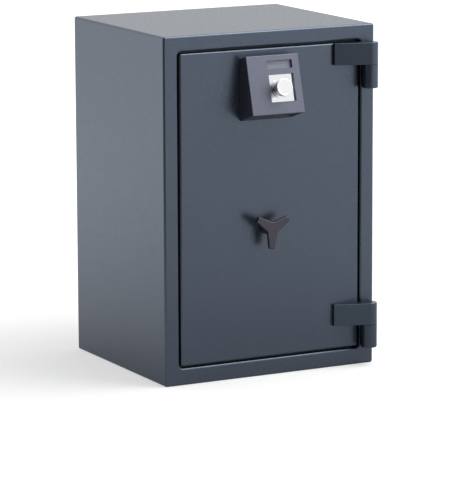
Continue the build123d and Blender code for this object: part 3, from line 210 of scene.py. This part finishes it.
class SafeStageSettings(bpy.types.PropertyGroup):
    """Camera, floor, backdrop and lights."""

    eye: place("Camera", "Place of the camera", (-3.157, -5.999, 1.532))
    yaw: angle("Yaw", "Camera's turn from straight at the front", 27.95)
    pitch: angle("Pitch", "Camera's tilt", -10.841)
    roll: angle("Roll", "Camera's roll", -0.193)
    lens: amount("Lens", "Focal length in millimetres", 229.35)
    shift: amount("Shift", "Sideways shift of the frame", -0.0088)
    sight: length("Sight", "How far the camera sees", 100.0)
    ambient: amount("Ambient", "Level of the light from all round", 0.45)
    floor_reach: length("Floor reach", "From the middle of the floor to its sides", 9.0)
    floor_roughness: amount("Floor roughness", "Roughness of the floor", 0.9)
    floor_shade: amount("Floor shade", "Lightness of the pale floor", 0.6)
    floor_white: amount("Floor white", "Glow of the floor by the safe for the camera", 0.5)
    floor_gloss: amount("Floor gloss", "Glow of the floor by the safe in reflections", 0.35)
    floor_centre: place("Floor centre", "Middle of the floor that keeps its shade", (0.6, -1, 0))
    floor_near: length("Floor near", "From here outwards the floor fades to white", 1.3)
    floor_far: length("Floor far", "From here outwards the floor is white", 4.1)
    # Painted shade on the floor just in front of the door, standing in for the safe's shadow
    # there; only reflections see it.
    front_centre: place("Front centre", "Middle of the darker floor by the door", (0.15, -0.5, 0))
    front_near: length("Front near", "From here outwards that floor grows lighter", 0.25)
    front_far: length("Front far", "From here outwards the floor is as light as elsewhere", 0.95)
    front_painted_shade: amount("Front level", "Level of the darker floor in reflections", 0.62)
    dark_side: place("Dark side", "Direction in which the surround is dark", (-0.9, -0.43, 0.05))
    dark_start: amount("Dark start", "Cosine off that direction where it starts to darken", 0.15)
    dark_full: amount("Dark full", "Cosine off that direction where it is darkest", 0.75)
    dark_level: amount("Dark level", "Level of the surround in its dark direction", 0.15)
    dark_near: length("Dark near", "From here outwards reflections find the floor darker", 0.9)
    dark_far: length("Dark far", "From here outwards they find it as dark as the surround", 2.4)
    key_place: place("Key light", "Place of the key light", (3.4, -2.2, 2.2))
    key_target: place("Key target", "Where the key light points", (0.0, -0.25, 0.4))
    key_size: length("Key size", "Side of the key light", 2.4)
    key_power: amount("Key power", "Power of the key light in watts", 30.0)
    top_place: place("Top light", "Place of the light above", (1.35, -0.9, 3.2))
    top_target: place("Top target", "Where the light above points", (0.0, 0.0, 0.7))
    top_size: length("Top size", "Side of the light above", 2.4)
    top_power: amount("Top power", "Power of the light above in watts", 84.0)
    side_place: place("Side light", "Place of the light at the back left", (-2.8, 1.6, 1.6))
    side_target: place("Side target", "Where the light at the back left points", (0.0, 0.0, 0.4))
    side_size: length("Side size", "Side of the light at the back left", 3.0)
    side_power: amount("Side power", "Power of the light at the back left in watts", 30.0)


GROUPS = {
    "paint": SafePaintSettings,
    "inner": SafeInnerSettings,
    "lock": SafeLockSettings,
    "knob": SafeKnobSettings,
    "handle": SafeHandleSettings,
    "screws": SafeScrewSettings,
    "stage": SafeStageSettings,
}


class SafeSettings(bpy.types.PropertyGroup):
    """All settings of the safe."""

    paint: PointerProperty(type=SafePaintSettings)
    inner: PointerProperty(type=SafeInnerSettings)
    lock: PointerProperty(type=SafeLockSettings)
    knob: PointerProperty(type=SafeKnobSettings)
    handle: PointerProperty(type=SafeHandleSettings)
    screws: PointerProperty(type=SafeScrewSettings)
    stage: PointerProperty(type=SafeStageSettings)


def settings():
    """The values that the sidebar shows."""
    return bpy.context.scene.safe_settings


def add_node(tree, kind, inputs=None, **options):
    """Adds a shader node. Another node's output is linked to an input; a plain value is set."""
    node = tree.nodes.new("ShaderNode" + kind)
    for name, value in options.items():
        setattr(node, name, value)
    for name, value in (inputs or {}).items():
        if isinstance(value, bpy.types.NodeSocket):
            tree.links.new(value, node.inputs[name])
        else:
            node.inputs[name].default_value = value
    return node


def multiply(tree, first, second):
    """The product of two outputs."""
    return add_node(tree, "Math", {0: first, 1: second}, operation="MULTIPLY").outputs["Value"]


def distance(tree, points, centre):
    """How far points are from a centre."""
    node = add_node(tree, "VectorMath", {0: points, 1: centre}, operation="DISTANCE")
    return node.outputs["Value"]


def blend(tree, value, none, full):
    """Runs straight from one level, where a value is none, to another, where it is one."""
    inputs = {"Value": value, "To Min": none, "To Max": full}
    return add_node(tree, "MapRange", inputs).outputs["Result"]


def fade(tree, value, start, end, before, after):
    """Runs smoothly from one level to another while a value goes from its start to its end."""
    inputs = {
        "Value": value, "From Min": start, "From Max": end, "To Min": before, "To Max": after,
    }
    return add_node(tree, "MapRange", inputs, interpolation_type="SMOOTHSTEP").outputs["Result"]


def new_material(name, base, roughness, metallic=0.0):
    """A material with one Principled shader; returns the material and the shader."""
    material = bpy.data.materials.new(name)
    material.use_nodes = True
    shader = material.node_tree.nodes["Principled BSDF"]
    shader.inputs["Base Color"].default_value = (*base, 1.0)
    shader.inputs["Roughness"].default_value = roughness
    shader.inputs["Metallic"].default_value = metallic
    return material, shader


def noise(material, size, detail=2.0, stretch=(1.0, 1.0, 1.0)):
    """A noise texture on object coordinates with features of the given size in metres."""
    tree = material.node_tree
    points = add_node(tree, "TexCoord").outputs["Object"]
    mapped = add_node(tree, "Mapping", {"Vector": points, "Scale": stretch}).outputs["Vector"]
    inputs = {"Vector": mapped, "Scale": 1.0 / size, "Detail": detail}
    return add_node(tree, "TexNoise", inputs).outputs["Fac"]


def add_bump(material, shader, height, depth):
    """Adds a bump of the given depth in metres to the shader's normal."""
    tree = material.node_tree
    inputs = {"Strength": 1.0, "Distance": depth, "Height": height}
    earlier = shader.inputs["Normal"].links
    if earlier:
        inputs["Normal"] = earlier[0].from_socket
    bump = add_node(tree, "Bump", inputs)
    tree.links.new(bump.outputs["Normal"], shader.inputs["Normal"])


def vary_colour(material, shader, height, base, spread):
    """Lets the base colour run between a darker and a lighter shade with a texture."""
    tree = material.node_tree
    ramp = add_node(tree, "ValToRGB", {"Fac": height})
    dark, light = ramp.color_ramp.elements
    dark.position = NOISE_LOW
    dark.color = (*[part * (1 - spread) for part in base], 1.0)
    light.position = NOISE_HIGH
    light.color = (*[min(1.0, part * (1 + spread)) for part in base], 1.0)
    tree.links.new(ramp.outputs["Color"], shader.inputs["Base Color"])


def vary_roughness(material, shader, height, middle, spread):
    """Lets the roughness stray either way from its middle with a texture."""
    tree = material.node_tree
    inputs = {
        "Value": height, "From Min": NOISE_LOW, "From Max": NOISE_HIGH,
        "To Min": middle - spread, "To Max": middle + spread,
    }
    tree.links.new(
        add_node(tree, "MapRange", inputs).outputs["Result"], shader.inputs["Roughness"]
    )


def textured_coat(name, base, roughness, metallic):
    """Powder coat: fine grain on slow waves, with a slightly mottled colour."""
    paint = settings().paint
    material, shader = new_material(name, base, roughness, metallic)
    grain = noise(material, paint.grain_size, detail=3.0)
    peel = noise(material, paint.peel_size)
    vary_colour(material, shader, grain, base, paint.coat_mottle)
    vary_roughness(material, shader, peel, roughness, paint.coat_patches)
    add_bump(material, shader, peel, paint.peel_depth)
    add_bump(material, shader, grain, paint.grain_depth)
    return material


def smooth_paint(name, base, roughness):
    """Smooth paint with a trace of orange peel."""
    material, shader = new_material(name, base, roughness)
    vary_roughness(material, shader, noise(material, size=0.03), roughness, spread=0.05)
    add_bump(material, shader, noise(material, size=0.002), depth=0.00002)
    return material


def drawn_metal(name, base, roughness, stretch=(1.0, 1.0, 1.0)):
    """Metal with fine lines, drawn out along the direction with the smallest stretch."""
    material, shader = new_material(name, base, roughness, metallic=1.0)
    lines = noise(material, size=0.0008, detail=3.0, stretch=stretch)
    vary_roughness(material, shader, lines, roughness, spread=0.06)
    add_bump(material, shader, lines, depth=0.00001)
    return material


def polished(name, base, roughness):
    """Polished chrome, a little duller in places."""
    material, shader = new_material(name, base, roughness, metallic=1.0)
    haze = noise(material, size=0.004)
    vary_roughness(material, shader, haze, roughness, spread=0.4 * roughness)
    add_bump(material, shader, haze, depth=0.000001)
    return material


def zinc(name, base, roughness=0.43):
    """Zinc plate: soft spangle in colour and roughness."""
    material, shader = new_material(name, base, roughness, metallic=1.0)
    spangle = noise(material, size=0.006, detail=4.0)
    vary_colour(material, shader, spangle, base, spread=0.12)
    vary_roughness(material, shader, spangle, roughness, spread=0.07)
    return material


def moulded(name, base, roughness):
    """Moulded plastic or rubber with a fine eroded grain."""
    material, shader = new_material(name, base, roughness)
    add_bump(material, shader, noise(material, size=0.0006), depth=0.00003)
    vary_roughness(material, shader, noise(material, size=0.01), roughness, spread=0.05)
    return material


def cast_fill(name, base, roughness=0.9):
    """Cast filling: coarse specks and a rough face."""
    material, shader = new_material(name, base, roughness)
    specks = noise(material, size=0.004, detail=6.0)
    vary_colour(material, shader, specks, base, spread=0.25)
    add_bump(material, shader, specks, depth=0.0004)
    return material


def finish_nodes(material, *names):
    """Gives carried-over solids one material."""
    for name in names:
        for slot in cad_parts[name].material_slots:
            slot.material = material


def add_object(name, data):
    """Puts a new object into the scene."""
    made = bpy.data.objects.new(name, data)
    bpy.context.scene.collection.objects.link(made)
    return made


def add_mesh(name, maker, material):
    """Turns a finished bmesh into an object with one material."""
    mesh = bpy.data.meshes.new(name)
    maker.to_mesh(mesh)
    maker.free()
    mesh.materials.append(material)
    return add_object(name, mesh)


def add_piece(name, maker, body, material, stands_for):
    """Turns a finished bmesh into a piece that rides on a body in place of some solids."""
    piece = add_mesh(name, maker, material)
    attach(piece, body)
    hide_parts(*stands_for)


def rounded_corner(radius, height, size, steps):
    """Profile points round an outer corner, from the flank up to the top."""
    turns = [step / steps * pi / 2 for step in range(steps + 1)]
    return [(radius - size + size * cos(turn), height - size + size * sin(turn)) for turn in turns]


def lathe(profile, steps):
    """A body of revolution about Z from (radius, height) points, smooth but at sharp edges."""
    maker = bmesh.new()
    verts = [maker.verts.new((radius, 0.0, height)) for radius, height in profile]
    for first, second in zip(verts, verts[1:]):
        maker.edges.new((first, second))
    bmesh.ops.spin(
        maker, geom=maker.verts[:] + maker.edges[:], cent=(0, 0, 0), axis=(0, 0, 1),
        angle=2 * pi, steps=steps, use_merge=True,
    )
    bmesh.ops.remove_doubles(maker, verts=maker.verts[:], dist=MERGE_DISTANCE)
    bmesh.ops.recalc_face_normals(maker, faces=maker.faces[:])
    for face in maker.faces:
        face.smooth = True
    for edge in maker.edges:
        edge.smooth = len(edge.link_faces) != 2 or edge.calc_face_angle(0.0) <= CRISP_ANGLE
    return maker


def unit_matrix():
    """The lock unit's own axes: X right, Y up the face, Z out of it."""
    lock = settings().lock
    across = Vector((1, 0, 0))
    out = Vector((0, -cos(lock.tilt), sin(lock.tilt)))
    up = out.cross(across)
    turn = Matrix((across, up, out)).transposed().to_4x4()
    return Matrix.Translation(lock.centre) @ turn


class SAFE_OT_finish_body(bpy.types.Operator):
    """Give the painted, plated, cast and moulded solids their finishes."""

    bl_idname = "safe.finish_body"
    bl_label = "Finish Body"

    def execute(self, context):
        paint = settings().paint
        inner = settings().inner
        finish_nodes(
            textured_coat("powder_coat", paint.coat, paint.coat_roughness, paint.coat_metal),
            "outer_wrapper", "back_plate", "front_frame", "door_plate",
        )
        finish_nodes(
            textured_coat("hinge_coat", paint.hinge_coat, paint.coat_roughness, paint.hinge_metal),
            "hinge_strap_upper", "hinge_strap_lower", "frame_knuckle_upper", "frame_knuckle_lower",
        )
        finish_nodes(
            smooth_paint("interior_paint", paint.inside, paint.inside_roughness),
            "bolt_channel", "inner_liner", "door_pan", "boltwork_cover", "shelf_lower",
            "shelf_upper",
        )
        # The rebate frame gets a near-black coat, painted shade for the gap round the door.
        finish_nodes(
            smooth_paint("rebate_paint", paint.rebate, paint.inside_roughness), "rebate_frame"
        )
        finish_nodes(
            zinc("zinc_plate", inner.zinc),
            "shelf_rails", "shelf_clips", "boltwork_plate", "side_bolt_bar", "top_rod",
            "bottom_rod", "rod_guides", "cam_disc", "lock_case_screws", "strap_screws",
            "base_screws", "spindle_clip", "base_anchor_sleeve", "back_anchor_sleeve",
            "lock_base_plate",
        )
        finish_nodes(zinc("oiled_steel", inner.oiled), "hinge_washers")
        finish_nodes(
            drawn_metal("turned_steel", inner.turned, roughness=0.3, stretch=(0.1, 1.0, 1.0)),
            "side_bolts", "top_bolt", "bottom_bolt", "hinge_side_bolts", "hinge_pins", "spindle",
            "knob_shaft", "handle_grub_screw",
        )
        finish_nodes(drawn_metal("hard_steel", inner.hard, roughness=0.45), "drill_plate")
        finish_nodes(
            drawn_metal("brass", inner.brass, roughness=0.3, stretch=(1.0, 0.2, 1.0)),
            "bolt_bushes", "spindle_bush", "lock_bolt", "knob_plunger",
        )
        finish_nodes(zinc("lock_casting", inner.casting), "lock_case", "lock_case_cover")
        finish_nodes(cast_fill("barrier", inner.filling), "barrier_fill", "door_barrier")
        finish_nodes(moulded("seal_rubber", inner.seal, roughness=0.7), "door_seal")
        return {"FINISHED"}


class SAFE_OT_finish_lock(bpy.types.Operator):
    """Give the lock unit's solids their finishes."""

    bl_idname = "safe.finish_lock"
    bl_label = "Finish Lock Unit"

    def execute(self, context):
        lock = settings().lock
        finish_nodes(
            textured_coat("housing_paint", lock.paint, lock.paint_roughness, lock.paint_metal),
            "lock_housing",
        )
        finish_nodes(polished("plate_chrome", lock.plate, lock.plate_roughness), "knob_plate")
        display, shader = new_material("display", lock.display, lock.display_roughness)
        shader.inputs["Coat Weight"].default_value = 1.0
        # The slow lighter and darker drift over the display is partly random tone and partly
        # painted reflection, standing in for light reflected on its glass.
        vary_colour(display, shader, noise(display, size=0.05), lock.display, spread=0.1)
        finish_nodes(display, "display")
        board, shader = new_material("board", lock.board, lock.board_roughness)
        vary_colour(board, shader, noise(board, size=0.004), lock.board, spread=0.3)
        finish_nodes(board, "control_board")
        finish_nodes(moulded("encoder_plastic", lock.encoder, roughness=0.5), "knob_encoder")
        finish_nodes(moulded("cable_jacket", lock.cable, roughness=0.55), "lock_cable")
        finish_nodes(moulded("tray_plastic", lock.tray, roughness=0.5), "battery_tray")
        finish_nodes(
            drawn_metal("battery_jacket", lock.battery, roughness=0.35, stretch=(1.0, 1.0, 0.1)),
            "battery",
        )
        return {"FINISHED"}


class SAFE_OT_add_knob(bpy.types.Operator):
    """Turn the chromed knob with its rounded rim, groove and recessed disc."""

    bl_idname = "safe.add_knob"
    bl_label = "Add Knob"

    def execute(self, context):
        knob = settings().knob
        maker = lathe(self.profile(knob), knob.steps)
        maker.transform(unit_matrix() @ Matrix.Translation((knob.across, knob.up, 0.0)))
        material = polished("knob_chrome", knob.chrome, knob.roughness)
        add_piece("knob", maker, "knob", material, ["selector_knob"])
        return {"FINISHED"}

    def profile(self, knob):
        """Half the knob's section, from the bore's end round the back, flank and front."""
        radius = knob.radius
        neck = radius - knob.groove
        hold = knob.hold
        back = knob.back
        bore_end = back + knob.bore_depth
        flank = back + knob.back_round
        groove_back = knob.front - knob.groove_back * knob.rim
        groove_front = knob.front - knob.groove_front * knob.rim
        disc_edge = radius - knob.disc_edge * knob.rim
        disc_foot = radius - knob.disc_foot * knob.rim
        disc_face = knob.front - knob.disc
        return [
            (0.0, bore_end),
            (knob.bore_radius, bore_end),
            (knob.bore_radius, back),
            (radius - knob.back_round, back),
            (radius - knob.back_cut, back + knob.back_cut),
            (radius, flank),
            (radius, flank + hold),
            (radius, groove_back - hold),
            (radius, groove_back),
            (neck, groove_back + knob.groove),
            (neck, groove_front - knob.groove),
            (radius, groove_front),
            (radius, groove_front + hold),
            (radius, knob.front - knob.rim - hold),
            *rounded_corner(radius, knob.front, knob.rim, knob.rim_steps),
            (radius - knob.rim - hold, knob.front),
            (disc_edge, knob.front),
            (disc_foot, disc_face),
            (disc_foot - hold, disc_face),
            (0.0, disc_face),
        ]


class SAFE_OT_finish_handle(bpy.types.Operator):
    """Give the three-armed handle its dark paint."""

    bl_idname = "safe.finish_handle"
    bl_label = "Finish Handle"

    def execute(self, context):
        handle = settings().handle
        paint = textured_coat("handle_black", handle.paint, handle.roughness, handle.metal)
        finish_nodes(paint, "handle")
        return {"FINISHED"}


class SAFE_OT_add_screws(bpy.types.Operator):
    """Turn the socket screws of the boltwork cover."""

    bl_idname = "safe.add_screws"
    bl_label = "Add Screws"

    def execute(self, context):
        screws = settings().screws
        low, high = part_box("cover_screws")
        left, right = low[0] + screws.head_radius, high[0] - screws.head_radius
        bottom, top = low[2] + screws.head_radius, high[2] - screws.head_radius
        seat = high[1] - screws.head_height
        upright = Matrix.Rotation(-pi / 2, 4, "X")
        maker = bmesh.new()
        for x in (left, right):
            for z in (bottom, (bottom + top) / 2, top):
                self.add_screw(maker, screws, Matrix.Translation((x, seat, z)) @ upright)
        material = zinc("screw_zinc", settings().inner.zinc)
        add_piece("cover_screw_set", maker, "door", material, ["cover_screws"])
        return {"FINISHED"}

    def add_screw(self, maker, screws, matrix):
        """One screw about local Z: shank below, rounded head above with a six-sided socket."""
        height = screws.head_height
        floor = height - screws.socket_depth
        profile = [
            (0.0, -screws.shank_length),
            (screws.shank_radius, -screws.shank_length),
            (screws.shank_radius, 0.0),
            (screws.head_radius, 0.0),
            *rounded_corner(screws.head_radius, height, screws.head_round, screws.head_steps),
            (screws.socket, height),
            (screws.socket, floor),
            (0.0, floor - screws.socket_point),
        ]
        made = lathe(profile, screws.steps)
        side = 2 * pi / SOCKET_SIDES
        for vert in made.verts:
            off_radius = abs(vert.co.xy.length - screws.socket)
            if vert.co.z > 0.0 and off_radius < SOCKET_TOLERANCE:
                off_middle = atan2(vert.co.y, vert.co.x) % side - side / 2
                vert.co.xy *= cos(side / 2) / cos(off_middle)
        made.transform(matrix)
        mesh = bpy.data.meshes.new("screw")
        made.to_mesh(mesh)
        made.free()
        maker.from_mesh(mesh)
        bpy.data.meshes.remove(mesh)


class SAFE_OT_set_stage(bpy.types.Operator):
    """Place the camera, floor, backdrop and lights."""

    bl_idname = "safe.set_stage"
    bl_label = "Set Stage"

    def execute(self, context):
        stage = settings().stage
        self.add_camera(stage)
        self.add_floor(stage)
        self.add_world(stage)
        for lamp in ("key", "top", "side"):
            self.add_light(stage, lamp)
        bpy.context.scene.view_settings.view_transform = "Standard"
        return {"FINISHED"}

    def add_camera(self, stage):
        """The camera at the photograph's place and angle."""
        along = cos(stage.pitch)
        forward = Vector((sin(stage.yaw) * along, cos(stage.yaw) * along, sin(stage.pitch)))
        right = Vector((cos(stage.yaw), -sin(stage.yaw), 0.0))
        up = right.cross(forward)
        rolled_right = right * cos(stage.roll) + up * sin(stage.roll)
        rolled_up = up * cos(stage.roll) - right * sin(stage.roll)
        turn = Matrix((rolled_right, rolled_up, -forward)).transposed().to_4x4()
        data = bpy.data.cameras.new("camera")
        data.lens = stage.lens
        data.shift_x = stage.shift
        data.clip_end = stage.sight
        camera = add_object("camera", data)
        camera.matrix_world = Matrix.Translation(stage.eye) @ turn
        bpy.context.scene.camera = camera

    def add_floor(self, stage):
        """The square floor that the safe stands on."""
        maker = bmesh.new()
        bmesh.ops.create_grid(maker, x_segments=1, y_segments=1, size=stage.floor_reach)
        floor = add_mesh("floor", maker, self.floor_material(stage))

    def floor_material(self, stage):
        """A pale floor that glows to white far away, and is darker where the safe reflects it:
        towards the surround's dark side, and with a painted shadow of the safe just in front of
        it.
        """
        shade = (stage.floor_shade,) * 3
        material, shader = new_material("floor", shade, stage.floor_roughness)
        shader.inputs["Emission Color"].default_value = WHITE
        tree = material.node_tree
        points = add_node(tree, "TexCoord").outputs["Object"]
        rays = add_node(tree, "LightPath").outputs
        level = multiply(
            tree, self.far_level(tree, stage, rays, points),
            self.front_painted_shade(tree, stage, rays, points),
        )
        away = distance(tree, points, stage.floor_centre)
        glow = 0.0
        for ray, near_glow in (
            ("Is Camera Ray", stage.floor_white),
            ("Is Glossy Ray", stage.floor_gloss),
            ("Is Transmission Ray", stage.floor_gloss),
        ):
            part = fade(tree, away, stage.floor_near, stage.floor_far, near_glow, 1.0)
            inputs = {0: rays[ray], 1: part, 2: glow}
            glow = add_node(tree, "Math", inputs, operation="MULTIPLY_ADD").outputs["Value"]
        tree.links.new(multiply(tree, glow, level), shader.inputs["Emission Strength"])
        base = add_node(tree, "VectorMath", {0: shade, "Scale": level}, operation="SCALE")
        tree.links.new(base.outputs["Vector"], shader.inputs["Base Color"])
        return material

    def far_level(self, tree, stage, rays, points):
        """How light a glossy ray finds the floor: far from the safe, as light as the surround."""
        away = distance(tree, points, (0.0, 0.0, 0.0))
        far = fade(tree, away, stage.dark_near, stage.dark_far, 0.0, 1.0)
        share = multiply(tree, far, rays["Is Glossy Ray"])
        return blend(tree, share, 1.0, self.surround_level(tree, stage, points))

    def front_painted_shade(self, tree, stage, rays, points):
        """How light a glossy ray finds the floor: less just in front of the safe, a painted shadow
        of the safe that only reflections see.
        """
        away = distance(tree, points, stage.front_centre)
        near = fade(tree, away, stage.front_near, stage.front_far, stage.front_painted_shade, 1.0)
        return blend(tree, rays["Is Glossy Ray"], 1.0, near)

    def surround_level(self, tree, stage, direction):
        """How light the surround is in a direction: one, or less towards the dark side."""
        unit = add_node(tree, "VectorMath", {0: direction}, operation="NORMALIZE")
        inputs = {0: unit.outputs["Vector"], 1: Vector(stage.dark_side).normalized()}
        cosine = add_node(tree, "VectorMath", inputs, operation="DOT_PRODUCT").outputs["Value"]
        return fade(tree, cosine, stage.dark_start, stage.dark_full, 1.0, stage.dark_level)

    def add_world(self, stage):
        """White for the camera, the surround in reflections and glass, and else plain light."""
        world = bpy.data.worlds.new("world")
        world.use_nodes = True
        bpy.context.scene.world = world
        tree = world.node_tree
        directions = add_node(tree, "TexCoord").outputs["Generated"]
        rays = add_node(tree, "LightPath").outputs
        seen = rays["Is Camera Ray"]
        for ray in ("Is Glossy Ray", "Is Transmission Ray"):
            both = add_node(tree, "Math", {0: seen, 1: rays[ray]}, operation="ADD", use_clamp=True)
            seen = both.outputs["Value"]
        level = multiply(
            tree, blend(tree, seen, stage.ambient, 1.0),
            self.surround_level(tree, stage, directions),
        )
        background = tree.nodes["Background"]
        background.inputs["Color"].default_value = WHITE
        strength = blend(tree, rays["Is Camera Ray"], level, 1.0)
        tree.links.new(strength, background.inputs["Strength"])

    def add_light(self, stage, lamp):
        """One of the square lamps, with its own place, target, size and power."""
        where = Vector(getattr(stage, lamp + "_place"))
        target = Vector(getattr(stage, lamp + "_target"))
        data = bpy.data.lights.new(lamp + "_light", "AREA")
        data.shape = "SQUARE"
        data.size = getattr(stage, lamp + "_size")
        data.energy = getattr(stage, lamp + "_power")
        aim = (target - where).to_track_quat("-Z", "Y").to_matrix().to_4x4()
        add_object(lamp + "_light", data).matrix_world = Matrix.Translation(where) @ aim


class SAFE_PT_panel(bpy.types.Panel):
    """Settings and buttons of the safe."""

    bl_label = "Safe"
    bl_idname = "SAFE_PT_panel"
    bl_space_type = "VIEW_3D"
    bl_region_type = "UI"
    bl_category = "Safe"

    def draw(self, context):
        for name, group in GROUPS.items():
            box = self.layout.box()
            box.label(text=name.title())
            for setting in group.__annotations__:
                box.prop(getattr(settings(), name), setting)
        for operator in OPERATORS:
            self.layout.operator(operator.bl_idname)


OPERATORS = (
    SAFE_OT_set_stage,
    SAFE_OT_finish_body,
    SAFE_OT_finish_lock,
    SAFE_OT_add_knob,
    SAFE_OT_finish_handle,
    SAFE_OT_add_screws,
)
CLASSES = (*GROUPS.values(), SafeSettings, *OPERATORS, SAFE_PT_panel)


def register():
    """Adds the settings, operators and panel to Blender."""
    for item in CLASSES:
        bpy.utils.register_class(item)
    bpy.types.Scene.safe_settings = PointerProperty(type=SafeSettings)


def unregister():
    """Takes the settings, operators and panel out again."""
    del bpy.types.Scene.safe_settings
    for item in reversed(CLASSES):
        bpy.utils.unregister_class(item)


def main():
    """Builds the whole scene."""
    register()
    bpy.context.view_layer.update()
    bpy.ops.safe.set_stage()
    bpy.ops.safe.finish_body()
    bpy.ops.safe.finish_lock()
    bpy.ops.safe.add_knob()
    bpy.ops.safe.finish_handle()
    bpy.ops.safe.add_screws()


if __name__ == "__main__":
    main()
